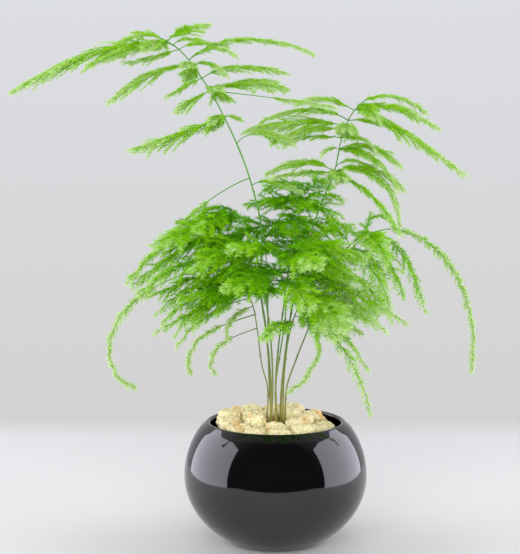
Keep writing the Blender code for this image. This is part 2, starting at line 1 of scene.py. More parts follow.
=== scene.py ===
"""Dresses the potted lace fern: feathery fronds, shoots, tuff stones, soil, bowl and studio.

Lengths in the tables and in the dataclasses are millimetres; meshes are made in metres. The
stems and fronds repeat the part's own values, so every sprig grows along its solid.
"""
import logging
import math
import random
from dataclasses import dataclass, field, replace
from enum import Enum

import bmesh
import bpy
import numpy as np
from mathutils import Euler, Matrix, Vector, noise
from mathutils.kdtree import KDTree


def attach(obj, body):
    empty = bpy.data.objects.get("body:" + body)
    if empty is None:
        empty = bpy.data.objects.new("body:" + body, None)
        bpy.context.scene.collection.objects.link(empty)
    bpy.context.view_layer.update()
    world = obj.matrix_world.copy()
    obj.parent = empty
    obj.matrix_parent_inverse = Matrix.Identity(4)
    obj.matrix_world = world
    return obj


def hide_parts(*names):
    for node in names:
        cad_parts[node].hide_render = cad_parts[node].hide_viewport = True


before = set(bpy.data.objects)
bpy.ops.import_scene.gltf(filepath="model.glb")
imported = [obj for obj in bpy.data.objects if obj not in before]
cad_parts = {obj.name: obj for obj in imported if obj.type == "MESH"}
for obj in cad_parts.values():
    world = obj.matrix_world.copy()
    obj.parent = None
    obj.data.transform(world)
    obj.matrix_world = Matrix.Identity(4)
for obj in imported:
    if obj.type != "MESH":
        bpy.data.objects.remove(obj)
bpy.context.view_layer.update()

LOG = logging.getLogger("lace_fern")
MM = 0.001
SEED = 1
CURVE_STEPS = 60
CURVE_GRAIN = 20
RIB_HALF_WIDTH = 0.8
LEAFLET_SWEEP = 0.75
LEAFLET_DROP = 0.12
PROBE_SPACING = 1.5
WELD = 0.001


@dataclass(frozen=True)
class View:
    """Where the photograph was taken from, and the lens that matches it."""

    place: tuple = (-10.2, -1100.0, 309.8)
    pitch: float = 6.95
    focal_pixels: float = 1708.0
    pixels: tuple = (520, 554)
    sensor: float = 36.0
    clip: tuple = (0.05, 20.0)


class Slot(Enum):
    """Material slots of the part's record."""

    GLAZE = "glaze"
    SOIL = "soil"
    STONES = "stones"


@dataclass(frozen=True)
class Spray:
    """One frond: where it leaves the stem and how it runs.

    at is the share of the stem's length, heading the compass angle from +X, rise and droop
    the slope at the root and at the tip, ease how late the slope changes, bare the share of
    the frond without leaflets and tilt how far the side towards the front hangs down.
    """

    at: float
    heading: float
    length: float
    rise: float
    droop: float
    width: float
    ease: float = 1.0
    bare: float = 0.1
    tilt: float = 0.0

    segment: float = field(default=12.8, repr=False)
    least: int = field(default=3, repr=False)

    def line(self, root: np.ndarray, steps: int) -> tuple[np.ndarray, ...]:
        """Run the frond's centre line.

        Args:
            root: point on the stem where the frond leaves it.
            steps: number of straight steps.

        Returns:
            The points, and the forward, sideways and upward directions at each of them.
        """
        middle = (np.arange(steps) + 0.5) / steps
        slope = np.radians(self.rise + (self.droop - self.rise) * middle**self.ease)
        heading = math.radians(self.heading)
        ahead = np.stack([np.cos(slope) * math.cos(heading),
                          np.cos(slope) * math.sin(heading), np.sin(slope)], axis=1)
        line = np.vstack([root, root + np.cumsum(ahead, axis=0) * self.length / steps])
        forward = np.vstack([ahead[:1], (ahead[:-1] + ahead[1:]) / 2, ahead[-1:]])
        forward /= np.linalg.norm(forward, axis=1)[:, None]
        level = np.array([-math.sin(heading), math.cos(heading), 0.0])
        lean = math.copysign(math.radians(self.tilt), level[1])
        side = level * math.cos(lean) + np.cross(forward, level) * math.sin(lean)
        return line, forward, side, np.cross(forward, side)

    def reach(self, share: float) -> float:
        """Half width of the frond at a share of its length, widest a third of the way out."""
        out = (share - self.bare) / (1.0 - self.bare)
        return 0.5 * self.width * min(1.0, 0.45 + 1.8 * out) * (1.0 - out) ** 0.6

    def blade(self, root: np.ndarray) -> tuple[list, list, np.ndarray]:
        """Rib points, leaflet tips and end of the frond's solid, as the part makes them."""
        steps = max(self.least, round(self.length / self.segment))
        line, forward, side, up = self.line(root, steps)
        ribs, tips = [], []
        for i in range(steps):
            half = RIB_HALF_WIDTH * (1.0 - 0.5 * i / steps)
            ribs.append([line[i] + sign * half * side[i] for sign in (1, -1)])
            share = (i + 0.5) / steps
            if i == steps - 1 or share <= self.bare:
                tips.append(None)
                continue
            reach = self.reach(share)
            base = (line[i] + line[i + 1]) / 2 + forward[i] * LEAFLET_SWEEP * reach
            tips.append([base + sign * (reach + half) * side[i]
                         - LEAFLET_DROP * reach * up[i] for sign in (1, -1)])
        return ribs, tips, line[-1]

    def spread(self, root: np.ndarray) -> list[np.ndarray]:
        """Points all over the frond, close enough together to measure its distance."""
        ribs, tips, end = self.blade(root)
        found = []
        for i, (row, ahead) in enumerate(zip(ribs, ribs[1:] + [[end, end]])):
            for k in (0, 1):
                lines = [(row[k], ahead[k])]
                if tips[i] is not None:
                    lines += [(start, tips[i][k])
                              for start in (row[k], ahead[k], (row[k] + ahead[k]) / 2)]
                for start, stop in lines:
                    count = 1 + int(np.linalg.norm(stop - start) / PROBE_SPACING)
                    found += [start + (stop - start) * t for t in np.linspace(0, 1, count + 1)]
        return found


@dataclass(frozen=True)
class Stem:
    """One shoot: its foot radius, the points it passes and its fronds."""

    name: str
    foot_radius: float
    points: tuple
    sprays: tuple

    def curve(self) -> np.ndarray:
        """Evenly spaced points on a smooth curve through the shoot's own points."""
        given = np.array(self.points, float)
        held = np.vstack([2 * given[0] - given[1], given, 2 * given[-1] - given[-2]])
        dense = []
        for a, b, c, d in zip(held, held[1:], held[2:], held[3:]):
            for t in np.linspace(0.0, 1.0, CURVE_GRAIN, endpoint=False):
                dense.append(0.5 * (2 * b + (c - a) * t + (2 * a - 5 * b + 4 * c - d) * t**2
                                    + (3 * b - a - 3 * c + d) * t**3))
        dense = np.array(dense + [given[-1]])
        run = np.concatenate([[0.0], np.cumsum(np.linalg.norm(np.diff(dense, axis=0), axis=1))])
        even = np.linspace(0.0, run[-1], CURVE_STEPS + 1)
        return np.stack([np.interp(even, run, dense[:, k]) for k in range(3)], axis=1)


@dataclass(frozen=True)
class Thicket:
    """A dense stretch of one stem: how many fronds are drawn there, and from which ranges."""

    stem: str
    count: int
    at: tuple
    heading: tuple
    length: tuple
    rise: tuple
    droop: tuple
    width: tuple

    def draw(self, rng: random.Random) -> Spray:
        """Draw one frond from the ranges."""
        return Spray(round(rng.uniform(*self.at), 2), rng.uniform(*self.heading),
                     rng.uniform(*self.length), rng.uniform(*self.rise),
                     rng.uniform(*self.droop), rng.uniform(*self.width),
                     tilt=rng.uniform(4.0, 28.0))


CROWN_OUTLINE = (
    (-97, 171), (-81, 190), (-62, 212), (-39, 224), (-17, 231), (6, 237), (36, 234), (39, 218),
    (62, 217), (79, 202), (79, 161), (71, 140), (42, 133), (15, 141), (8, 158), (-9, 163),
    (-75, 162),
)

STEMS = (
    Stem("tall_left", 1.3, (
        (-3, -1, 62), (-3, -1, 72), (-3, -1, 102), (-6, -3, 139), (-10, -4, 170), (-9, -4, 205),
        (-16, -3, 237), (-26, -2, 264), (-40, 0, 292), (-54, 1, 313), (-63, 2, 323),
        (-70, 3, 327)
    ), (
        Spray(0.62, 10, 33, 42, -32, 14, ease=0.5, tilt=15),
        Spray(0.63, 190, 98, -14, -52, 10, ease=0.5, bare=0.3, tilt=6),
        Spray(0.72, -25, 41, 66, -30, 20, ease=0.5, bare=0.2, tilt=14),
        Spray(0.78, 195, 62, -20, -14, 24, ease=3, tilt=14),
        Spray(0.78, 20, 9, 24, -20, 10, ease=0.5, tilt=6),
        Spray(0.78, 108, 34, -4, -26, 18, tilt=4),
        Spray(0.78, 255, 28, 8, -16, 14),
        Spray(0.85, 188, 23, -26, -34, 16, ease=3, tilt=15),
        Spray(0.85, 12, 50, 18, -20, 26, ease=1.4, tilt=15),
        Spray(0.85, -15, 80, -4, -8, 8, ease=0.5, bare=0.5, tilt=6),
        Spray(0.85, 75, 34, 0, -20, 20, tilt=4),
        Spray(0.85, 282, 30, 16, -8, 16),
        Spray(0.88, 192, 23, -18, -30, 10, ease=0.5, tilt=6),
        Spray(0.88, 10, 55, 44, -16, 16, ease=0.5, tilt=15),
        Spray(0.92, 188, 58, 14, -40, 22, ease=0.5, tilt=15),
        Spray(0.92, -30, 24, 50, -38, 8, ease=0.5, tilt=6),
        Spray(0.92, 98, 36, -4, -24, 18, tilt=4),
        Spray(0.92, 262, 28, 14, -12, 14),
        Spray(0.93, 14, 85, 56, -22, 12, ease=0.5, bare=0.15, tilt=6),
        Spray(0.93, -20, 32, 40, -34, 8, ease=1.3, tilt=6),
        Spray(0.97, 190, 33, -16, -10, 12, ease=3, tilt=6),
        Spray(0.97, 8, 30, 44, -14, 10, ease=0.5, tilt=6),
        Spray(0.98, 30, 27, 56, -24, 8, ease=0.5, tilt=6),
        Spray(1, 200, 52, -2, -22, 18, ease=0.5, tilt=14),
        Spray(1, 178, 105, 8, -30, 32, ease=0.5, bare=0.05, tilt=15),
        Spray(1, 55, 44, 36, 6, 20, ease=0.5, tilt=9),
        Spray(1, 150, 40, 46, -24, 18, ease=0.5, tilt=13),
        Spray(1, 104, 34, 8, -22, 16),
        Spray(1, 248, 32, 8, -26, 16),
    )),
    Stem("tall_right", 1.3, (
        (3.4, 4.6, 62), (3.4, 4.6, 72), (4, 6, 101), (8, 8, 136), (13, 8, 166), (21, 7, 199),
        (32, 5, 229), (38, 4, 244), (42, 2, 264), (48, 0, 280), (53, -2, 286)
    ), (
        Spray(0.8, 176, 45, 56, -28, 18, ease=0.5, tilt=15),
        Spray(0.8, 205, 43, 4, -16, 12, ease=1.9, tilt=6),
        Spray(0.8, 9, 49, 46, -42, 20, ease=0.5, tilt=15),
        Spray(0.8, -30, 60, -12, -56, 10, ease=0.7, tilt=6),
        Spray(0.8, -8, 62, 28, -88, 14, ease=0.8, tilt=15),
        Spray(0.8, 82, 38, 0, -24, 20, tilt=4),
        Spray(0.8, 276, 32, 12, -16, 18),
        Spray(0.82, 25, 28, 62, -34, 6, ease=0.5, tilt=6),
        Spray(0.87, 8, 43, 42, -42, 20, ease=0.5, tilt=15),
        Spray(0.87, -14, 47, 8, -64, 12, ease=0.8, tilt=6),
        Spray(0.87, 185, 10, 42, -40, 10, ease=0.5, tilt=6),
        Spray(0.87, 58, 34, 4, -22, 18),
        Spray(0.9, 186, 36, 4, -34, 8, ease=3, tilt=6),
        Spray(0.9, -10, 22, 4, -48, 10, ease=1.5, tilt=6),
        Spray(0.92, 195, 48, 30, -26, 18, ease=0.5, tilt=14),
        Spray(0.93, 172, 65, 16, -16, 28, ease=0.7, tilt=15),
        Spray(0.93, 84, 40, 0, -24, 22, tilt=4),
        Spray(0.93, 268, 34, 12, -16, 18),
        Spray(0.95, 160, 62, 34, -30, 14, ease=0.8, tilt=14),
        Spray(0.95, 20, 35, 6, -22, 22, ease=1.1, tilt=14),
        Spray(0.98, 184, 37, 30, -24, 14, ease=1.5, tilt=15),
        Spray(0.98, 8, 57, 38, -36, 18, ease=0.5, tilt=15),
        Spray(1, 30, 54, 58, -34, 8, ease=0.5, tilt=6),
        Spray(1, -12, 78, -24, -36, 18, ease=0.5, tilt=15),
        Spray(1, 74, 38, 8, -24, 18),
        Spray(1, 286, 34, 6, -30, 16),
    )),
    Stem("right", 1.0, (
        (6.5, 0.6, 62), (6.5, 0.6, 72), (7, 0, 101), (13, -2, 121), (19, -4, 137), (30, -8, 165),
        (43, -10, 192), (55, -10, 203), (67, -10, 207)
    ), (
        Spray(0.72, -20, 57, -28, -24, 10, ease=3, tilt=6),
        Spray(0.75, 0, 52, -16, -74, 18, ease=1.3, tilt=15),
        Spray(0.82, -50, 62, 8, -82, 18, tilt=10),
        Spray(0.83, 15, 40, 52, -80, 22, ease=0.5, tilt=14),
        Spray(0.87, 150, 31, 80, -38, 22, ease=0.7, tilt=13),
        Spray(0.93, -35, 49, -10, -72, 20, ease=0.5, tilt=12),
        Spray(0.93, 30, 34, 80, -84, 12, ease=1.3, tilt=6),
        Spray(0.98, -15, 61, -16, -78, 16, ease=0.5, tilt=14),
        Spray(1, 2, 125, 28, -98, 16, ease=0.5, tilt=15),
    )),
    Stem("low_right", 1.0, (
        (5, -4, 62), (5, -4, 72), (5, -6, 102), (7, -12, 130), (11, -18, 150), (17, -22, 164),
        (24, -26, 171)
    ), (
        Spray(0.77, 251, 60, 8, -12, 16, ease=0.8, tilt=5),
        Spray(0.83, -25, 68, 4, -154, 8, ease=0.6, bare=0.25, tilt=6),
        Spray(0.87, -10, 84, -30, -76, 12, ease=0.8, bare=0.3, tilt=6),
        Spray(0.9, 15, 64, -40, -66, 12, ease=3, bare=0.2, tilt=6),
        Spray(0.9, -40, 36, 0, -76, 22, tilt=11),
        Spray(0.97, -20, 54, -14, -28, 20, ease=0.5, tilt=14),
        Spray(1, 5, 33, 6, -102, 24, ease=1.8),
    )),
    Stem("left", 1.1, (
        (-4, -5.2, 62), (-4, -5.2, 72), (-2, -7, 103), (-3, -10, 133), (-6, -13, 159),
        (-10, -15, 182), (-17, -17, 202), (-25, -18, 218)
    ), (
        Spray(0.73, 212, 61, -4, -14, 24, ease=0.5, tilt=13),
        Spray(0.78, 172, 76, -2, -26, 28, ease=0.5, tilt=15),
        Spray(0.83, 196, 151, -14, -164, 14, ease=3, bare=0.45, tilt=14),
        Spray(0.85, 202, 82, 10, -32, 30, ease=0.5, tilt=14),
        Spray(0.92, 180, 82, 6, -40, 28, ease=0.5, tilt=15),
        Spray(0.97, 190, 84, 20, -50, 16, ease=0.5, tilt=8),
        Spray(1, 178, 27, 54, -48, 18, ease=0.8, tilt=15),
        Spray(1, 215, 41, -18, -66, 20, tilt=12),
    )),
    Stem("low_left", 0.9, (
        (-6.5, 2.2, 62), (-6.5, 2.2, 72), (-5, 4, 100), (-9, 6, 117), (-12, 8, 140),
        (-15, 10, 156), (-21, 12, 168)
    ), (
        Spray(0.73, 176, 48, -20, -130, 10, ease=2.8, bare=0.35, tilt=6),
        Spray(0.82, 190, 65, -16, -122, 10, ease=2.9, bare=0.35, tilt=6),
        Spray(0.87, 205, 30, -10, -98, 14, ease=1.4, tilt=14),
        Spray(0.92, 166, 61, -8, -54, 12, ease=0.8, bare=0.2, tilt=6),
        Spray(0.93, 183, 58, 6, -62, 20, tilt=14),
        Spray(0.95, 196, 62, 12, -44, 22, tilt=16),
        Spray(0.97, 180, 66, -14, -30, 14, ease=0.5, bare=0.2, tilt=15),
        Spray(1, 172, 64, 16, -52, 22, tilt=16),
        Spray(1, 204, 48, 4, -76, 20, tilt=12),
        Spray(1, 240, 36, 10, -60, 20, tilt=8),
        Spray(1, 140, 38, 10, -50, 20, tilt=8),
    )),
    Stem("middle", 1.1, (
        (1.2, 1, 62), (1.2, 1, 72), (0, 2, 104), (2, 3, 131), (5, 4, 154), (8, 12, 176),
        (12, 18, 198), (18, 22, 225)
    ), (
        Spray(0.93, 172, 37, 46, -20, 24, ease=0.9, tilt=15),
        Spray(0.97, -12, 33, 38, -90, 26, ease=0.8, tilt=15),
        Spray(1, 0, 27, 44, -22, 18, ease=0.5, tilt=15),
        Spray(1, 150, 35, 60, -42, 18, ease=0.9, tilt=13),
        Spray(0.98, 100, 26, 60, 5, 16, ease=0.8, tilt=6),
        Spray(1, 60, 43, 34, -40, 20, ease=1.8, tilt=8),
    )),
    Stem("front", 1.0, (
        (0.8, -5.4, 62), (0.8, -5.4, 72), (0, -9, 106), (3, -15, 130), (6, -23, 154),
        (4, -34, 178), (0, -46, 198)
    ), ()),
    Stem("back", 1.0, (
        (-2.2, 3.6, 62), (-2.2, 3.6, 72), (-4, 7, 101), (-5, 14, 129), (-5, 26, 157),
        (-6, 42, 182), (-9, 56, 204)
    ), ()),
)

THICKETS = (
    Thicket("front", 12, (0.5, 1), (170, 370), (38, 62), (-5, 30), (-55, -10), (26, 36)),
    Thicket("back", 11, (0.5, 1), (0, 180), (38, 62), (-5, 30), (-50, -10), (26, 36)),
    Thicket("middle", 6, (0.55, 1), (60, 200), (32, 54), (-5, 25), (-50, -10), (24, 34)),
    Thicket("middle", 5, (0.55, 1), (-60, 60), (32, 52), (-5, 25), (-50, -10), (24, 34)),
    Thicket("middle", 4, (0.9, 1), (0, 360), (26, 38), (20, 50), (-45, -5), (22, 30)),
    Thicket("left", 7, (0.5, 0.98), (130, 250), (44, 76), (0, 25), (-40, -10), (26, 34)),
    Thicket("low_right", 6, (0.6, 1), (-100, 40), (32, 48), (-5, 25), (-50, -10), (24, 32)),
    Thicket("right", 4, (0.5, 0.95), (-90, 90), (32, 52), (-5, 25), (-60, -20), (22, 30)),
)


@dataclass
class Habit:
    """Fills the stems with their drawn fronds, by the same rule as the part."""

    clearance: float = 2.4
    room_enough: float = 12.0
    draws: int = 150
    crown_lean: float = 0.12
    crown_share: float = 0.93

    def tree(self, points: list) -> KDTree:
        """Search tree over points."""
        tree = KDTree(len(points))
        for i, point in enumerate(points):
            tree.insert(point, i)
        tree.balance()
        return tree

    def along(self, curve: np.ndarray) -> list:
        """Points along a shoot, four to each step of its curve."""
        steps = curve[1:] - curve[:-1]
        return [point for t in (0.0, 0.25, 0.5, 0.75) for point in curve[:-1] + steps * t]

    def share_in_crown(self, root: np.ndarray, spray: Spray) -> float:
        """Share of a frond's corners inside the crown's outline seen from the front."""
        ribs, tips, end = spray.blade(root)
        corners = np.array([point for row in ribs + [tip for tip in tips if tip]
                            for point in row] + [end])
        across, height = corners[:, 0], corners[:, 2] + self.crown_lean * corners[:, 1]
        inside = np.zeros(len(corners), bool)
        for (ax, az), (bx, bz) in zip(CROWN_OUTLINE, CROWN_OUTLINE[1:] + CROWN_OUTLINE[:1]):
            between = (az > height) != (bz > height)
            slope = (bx - ax) / (bz - az) if bz != az else 0.0
            inside ^= between & (across < ax + slope * (height - az))
        return inside.mean()

    def filled(self) -> list[Stem]:
        """The stems with listed and drawn fronds.

        Returns:
            The stems in the order of their table. A drawn frond keeps clear of the other
            stems and, as far as it can, of the fronds of its own.
        """
        rng = random.Random(SEED)
        curves = {stem.name: stem.curve() for stem in STEMS}
        fronds = {stem.name: list(stem.sprays) for stem in STEMS}

        def root(name: str, spray: Spray) -> np.ndarray:
            """Point of the stem where a frond leaves it."""
            return curves[name][round(spray.at * CURVE_STEPS)]

        spread = {name: [point for spray in fronds[name]
                         for point in spray.spread(root(name, spray))] for name in curves}
        for thicket in THICKETS:
            name = thicket.stem
            others = self.tree([point for other in curves if other != name
                                for point in [*self.along(curves[other]), *spread[other]]])
            for _ in range(thicket.count):
                own = self.tree(spread[name] or [curves[name][0]])
                best = (0.0, None, None)
                for _ in range(self.draws):
                    spray = thicket.draw(rng)
                    if self.share_in_crown(root(name, spray), spray) < self.crown_share:
                        continue
                    points = spray.spread(root(name, spray))
                    if min(others.find(point)[2] for point in points) < self.clearance:
                        continue
                    outer = points[len(points) // 3:]
                    room = sum(min(own.find(point)[2], self.room_enough)
                               for point in outer) / len(outer)
                    if room > best[0]:
                        best = (room, spray, points)
                if best[1]:
                    fronds[name].append(best[1])
                    spread[name] += best[2]
        return [replace(stem, sprays=tuple(fronds[stem.name])) for stem in STEMS]


def colour(code: str) -> tuple[float, float, float, float]:
    """Turn an sRGB hex value such as "#3c8a12" into linear red, green, blue and alpha."""
    parts = [int(code[i:i + 2], 16) / 255 for i in (1, 3, 5)]
    return (*(p / 12.92 if p <= 0.04045 else ((p + 0.055) / 1.055) ** 2.4 for p in parts), 1.0)


def add_node(tree: bpy.types.NodeTree, kind: str, settings: dict | None = None,
             links: dict | None = None) -> bpy.types.Node:
    """Add a shader node.

    Args:
        tree: node tree that gets the node.
        kind: the node's type name without its "ShaderNode" start.
        settings: values of properties, or of inputs by name or number; "stops" fills a ramp
            with pairs of a place and a colour.
        links: outputs that feed the node's inputs, by input name or number.

    Returns:
        The new node.
    """
    node = tree.nodes.new("ShaderNode" + kind)
    for key, value in (settings or {}).items():
        if key == "stops":
            ramp = node.color_ramp.elements
            while len(ramp) < len(value):
                ramp.new(1.0)
            for stop, (place, code) in zip(ramp, value):
                stop.position, stop.color = place, colour(code)
        elif isinstance(key, str) and hasattr(node, key):
            setattr(node, key, value)
        else:
            node.inputs[key].default_value = value
    for key, socket in (links or {}).items():
        tree.links.new(socket, node.inputs[key])
    return node


def blank_material(name: str) -> tuple[bpy.types.Material, bpy.types.NodeTree,
                                       bpy.types.NodeSocket]:
    """A material, its node tree and the object coordinates in it."""
    material = bpy.data.materials.new(name)
    material.use_nodes = True
    tree = material.node_tree
    tree.nodes.clear()
    return material, tree, add_node(tree, "TexCoord").outputs["Object"]


def per_mm(size: float) -> float:
    """Scale of a pattern on object coordinates whose cells are so many millimetres wide."""
    return 1.0 / (size * MM)


@dataclass(frozen=True)
class BlackGlaze:
    """Black iron glaze over stoneware: a deep mirror gloss with a faint ripple."""

    base: str = "#070708"
    speck: str = "#15110f"
    roughness: float = 0.045
    ior: float = 1.55
    ripple: float = 24.0

    def make(self) -> bpy.types.Material:
        """Build the material."""
        material, tree, place = blank_material("black stoneware glaze")
        # fine iron specks, about 0.8 mm, keep the black from looking like plastic
        specks = add_node(tree, "TexNoise", {"Scale": per_mm(0.8), "Detail": 2.0}, {0: place})
        tint = add_node(tree, "ValToRGB", {"stops": ((0.58, self.base), (0.72, self.speck))},
                        {0: specks.outputs[0]})
        # glaze flows a little before it sets, so reflections waver over about 24 mm
        flow = add_node(tree, "TexNoise", {"Scale": per_mm(self.ripple), "Detail": 1.0},
                        {0: place})
        bump = add_node(tree, "Bump", {"Strength": 0.12, "Distance": 0.4 * MM},
                        {"Height": flow.outputs[0]})
        shader = add_node(tree, "BsdfPrincipled",
                          {"Roughness": self.roughness, "IOR": self.ior,
                           "Specular IOR Level": 0.6},
                          {"Base Color": tint.outputs[0], "Normal": bump.outputs[0]})
        add_node(tree, "OutputMaterial", None, {0: shader.outputs[0]})
        return material


@dataclass(frozen=True)
class PottingSoil:
    """Damp peat soil: dark, matt and crumbly, with a few paler fibres."""

    deep: str = "#1a120c"
    crumb: str = "#3d2d20"
    fibre: str = "#6b563d"

    def make(self) -> bpy.types.Material:
        """Build the material."""
        material, tree, place = blank_material("damp potting soil")
        crumbs = add_node(tree, "TexNoise", {"Scale": per_mm(2.2), "Detail": 6.0}, {0: place})
        tint = add_node(tree, "ValToRGB", {"stops": ((0.35, self.deep), (0.6, self.crumb),
                                                     (0.78, self.fibre))},
                        {0: crumbs.outputs[0]})
        bump = add_node(tree, "Bump", {"Strength": 0.7, "Distance": 0.6 * MM},
                        {"Height": crumbs.outputs[0]})
        shader = add_node(tree, "BsdfPrincipled", {"Roughness": 0.92, "IOR": 1.35},
                          {"Base Color": tint.outputs[0], "Normal": bump.outputs[0]})
        add_node(tree, "OutputMaterial", None, {0: shader.outputs[0]})
        return material


@dataclass(frozen=True)
class Tuff:
    """Broken volcanic tuff: chalky cream, rusty in places, full of small pits that are darkened
    with painted shade.
    """

    painted_pit_shade: str = "#b0a164"
    cream: str = "#e2d6a2"
    chalk: str = "#efe7c8"
    rust: str = "#dda75f"

    def make(self) -> bpy.types.Material:
        """Build the material."""
        material, tree, place = blank_material("cream tuff")
        # grit of about 1.2 mm and iron stains of about 14 mm
        grit = add_node(tree, "TexNoise", {"Scale": per_mm(1.2), "Detail": 5.0,
                                           "Roughness": 0.65}, {0: place})
        # painted shade: the grit's low values, which the bump sinks into hollows, take the
        # darkest colour
        body = add_node(tree, "ValToRGB", {"stops": ((0.36, self.painted_pit_shade), (0.47, self.cream),
                                                     (0.66, self.chalk))},
                        {0: grit.outputs[0]})
        stain = add_node(tree, "TexNoise", {"Scale": per_mm(14.0), "Detail": 3.0}, {0: place})
        share = add_node(tree, "MapRange", {"From Min": 0.55, "From Max": 0.68, "To Max": 0.75},
                         {0: stain.outputs[0]})
        tint = add_node(tree, "Mix", {"data_type": "RGBA", "blend_type": "MIX",
                                      7: colour(self.rust)},
                        {0: share.outputs[0], 6: body.outputs[0]})
        bump = add_node(tree, "Bump", {"Strength": 0.8, "Distance": 0.5 * MM},
                        {"Height": grit.outputs[0]})
        shader = add_node(tree, "BsdfPrincipled", {"Roughness": 0.88, "IOR": 1.5},
                          {"Base Color": tint.outputs[2], "Normal": bump.outputs[0]})
        add_node(tree, "OutputMaterial", None, {0: shader.outputs[0]})
        return material


@dataclass(frozen=True)
class Cladode:
    """Needle leaves of a lace fern: soft, thin and lit through, fresher towards the tips, and
    darker deep in the crown, where the darker green is painted shade.
    """

    # the deepest green also serves as painted shade in the middle of the crown
    old_and_shaded: str = "#4ba200"
    grown: str = "#80cb0c"
    fresh: str = "#aee222"
    young: str = "#dcefb4"
    through: float = 0.5

    def make(self) -> bpy.types.Material:
        """Build the material."""
        material, tree, place = blank_material("lace fern needle")
        # the leaves' tone, fresher towards the tips, also holds painted shade: deeper green in
        # the middle of the crown
        fresh = add_node(tree, "Attribute", {"attribute_type": "GEOMETRY",
                                             "attribute_name": "freshness"}).outputs["Fac"]
        # leaves of one twig share a tone: patches of about 9 mm
        patch = add_node(tree, "TexNoise", {"Scale": per_mm(9.0), "Detail": 2.0}, {0: place})
        shift = add_node(tree, "MapRange", {"To Min": -0.22, "To Max": 0.22},
                         {0: patch.outputs[0]})
        tone = add_node(tree, "Math", {"operation": "ADD", "use_clamp": True},
                        {0: fresh, 1: shift.outputs[0]})
        tint = add_node(tree, "ValToRGB", {"stops": ((0.0, self.old_and_shaded), (0.38, self.grown),
                                                     (0.7, self.fresh), (1.0, self.young))},
                        {0: tone.outputs[0]})
        shader = add_node(tree, "BsdfPrincipled", {"Roughness": 0.5, "IOR": 1.4,
                                                   "Specular IOR Level": 0.06},
                          {"Base Color": tint.outputs[0]})
        glow = add_node(tree, "BsdfTranslucent", None, {"Color": tint.outputs[0]})
        both = add_node(tree, "MixShader", {0: self.through},
                        {1: shader.outputs[0], 2: glow.outputs[0]})
        add_node(tree, "OutputMaterial", None, {0: both.outputs[0]})
        return material


@dataclass(frozen=True)
class ShootSkin:
    """Wiry shoot: smooth olive green skin, browner near the soil."""

    foot: str = "#8a8136"
    stalk: str = "#527226"
    twig: str = "#4f9423"

    def make(self) -> bpy.types.Material:
        """Build the material."""
        material, tree, place = blank_material("wiry green shoot")
        height = add_node(tree, "SeparateXYZ", None, {0: place}).outputs[2]
        share = add_node(tree, "MapRange", {"From Min": 0.075, "From Max": 0.2},
                         {0: height})
        # brown and pale streaks of about 5 mm run over the skin
        streak = add_node(tree, "TexNoise", {"Scale": per_mm(5.0), "Detail": 3.0}, {0: place})
        shift = add_node(tree, "MapRange", {"To Min": -0.3, "To Max": 0.3},
                         {0: streak.outputs[0]})
        tone = add_node(tree, "Math", {"operation": "ADD", "use_clamp": True},
                        {0: share.outputs[0], 1: shift.outputs[0]})
        tint = add_node(tree, "ValToRGB", {"stops": ((0.0, self.foot), (0.45, self.stalk),
                                                     (1.0, self.twig))},
                        {0: tone.outputs[0]})
        shader = add_node(tree, "BsdfPrincipled", {"Roughness": 0.38, "IOR": 1.45},
                          {"Base Color": tint.outputs[0]})
        add_node(tree, "OutputMaterial", None, {0: shader.outputs[0]})
        return material


@dataclass(frozen=True)
class PaperyBract:
    """Dry scale leaf at a joint of the shoot: thin, tan and slightly see-through."""

    tan: str = "#cbb489"
    edge: str = "#8d6f45"

    def make(self) -> bpy.types.Material:
        """Build the material."""
        material, tree, place = blank_material("papery bract")
        vein = add_node(tree, "TexNoise", {"Scale": per_mm(1.5), "Detail": 2.0}, {0: place})
        tint = add_node(tree, "ValToRGB", {"stops": ((0.4, self.edge), (0.6, self.tan))},
                        {0: vein.outputs[0]})
        shader = add_node(tree, "BsdfPrincipled", {"Roughness": 0.7, "IOR": 1.4},
                          {"Base Color": tint.outputs[0]})
        add_node(tree, "OutputMaterial", None, {0: shader.outputs[0]})
        return material


@dataclass(frozen=True)
class TableTop:
    """Plain pale table that fades into the studio's backdrop past its edge."""

    white: str = "#d6d7d3"
    edge: float = 315.0
    blur: float = 95.0

    def make(self) -> bpy.types.Material:
        """Build the material."""
        material, tree, place = blank_material("pale table")
        reach = add_node(tree, "SeparateXYZ", None, {0: place})
        sides = [add_node(tree, "Math", {"operation": "ABSOLUTE"}, {0: reach.outputs[k]})
                 for k in (0, 1)]
        far = add_node(tree, "Math", {"operation": "MAXIMUM"},
                       {0: sides[0].outputs[0], 1: sides[1].outputs[0]})
        gone = add_node(tree, "MapRange", {"interpolation_type": "SMOOTHSTEP",
                                           "From Min": self.edge * MM,
                                           "From Max": (self.edge + self.blur) * MM},
                        {0: far.outputs[0]})
        shader = add_node(tree, "BsdfPrincipled", {"Base Color": colour(self.white),
                                                   "Roughness": 0.6})
        clear = add_node(tree, "BsdfTransparent")
        both = add_node(tree, "MixShader", None,
                        {0: gone.outputs[0], 1: shader.outputs[0], 2: clear.outputs[0]})
        add_node(tree, "OutputMaterial", None, {0: both.outputs[0]})
        return material


def add_object(name: str, data: bpy.types.ID) -> bpy.types.Object:
    """Link a new object with this data to the scene."""
    made = bpy.data.objects.new(name, data)
    bpy.context.scene.collection.objects.link(made)
    return made


def show(name: str, data: bpy.types.Mesh, material: bpy.types.Material,
         nodes: tuple[str, ...], smooth: bool = True) -> bpy.types.Object:
    """Place a finished mesh as a piece of the object.

    Args:
        name: the piece's name.
        data: its mesh, in metres and in place.
        material: its finish.
        nodes: the solids that it stands for.
        smooth: whether its faces are shaded smooth.

    Returns:
        The new object.
    """
    piece = add_object(name, data)
    data.materials.clear()
    data.materials.append(material)
    if smooth:
        data.shade_smooth()
    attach(piece, "root")
    if nodes:
        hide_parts(*nodes)
    LOG.info("%s: %d faces", name, len(data.polygons))
    return piece


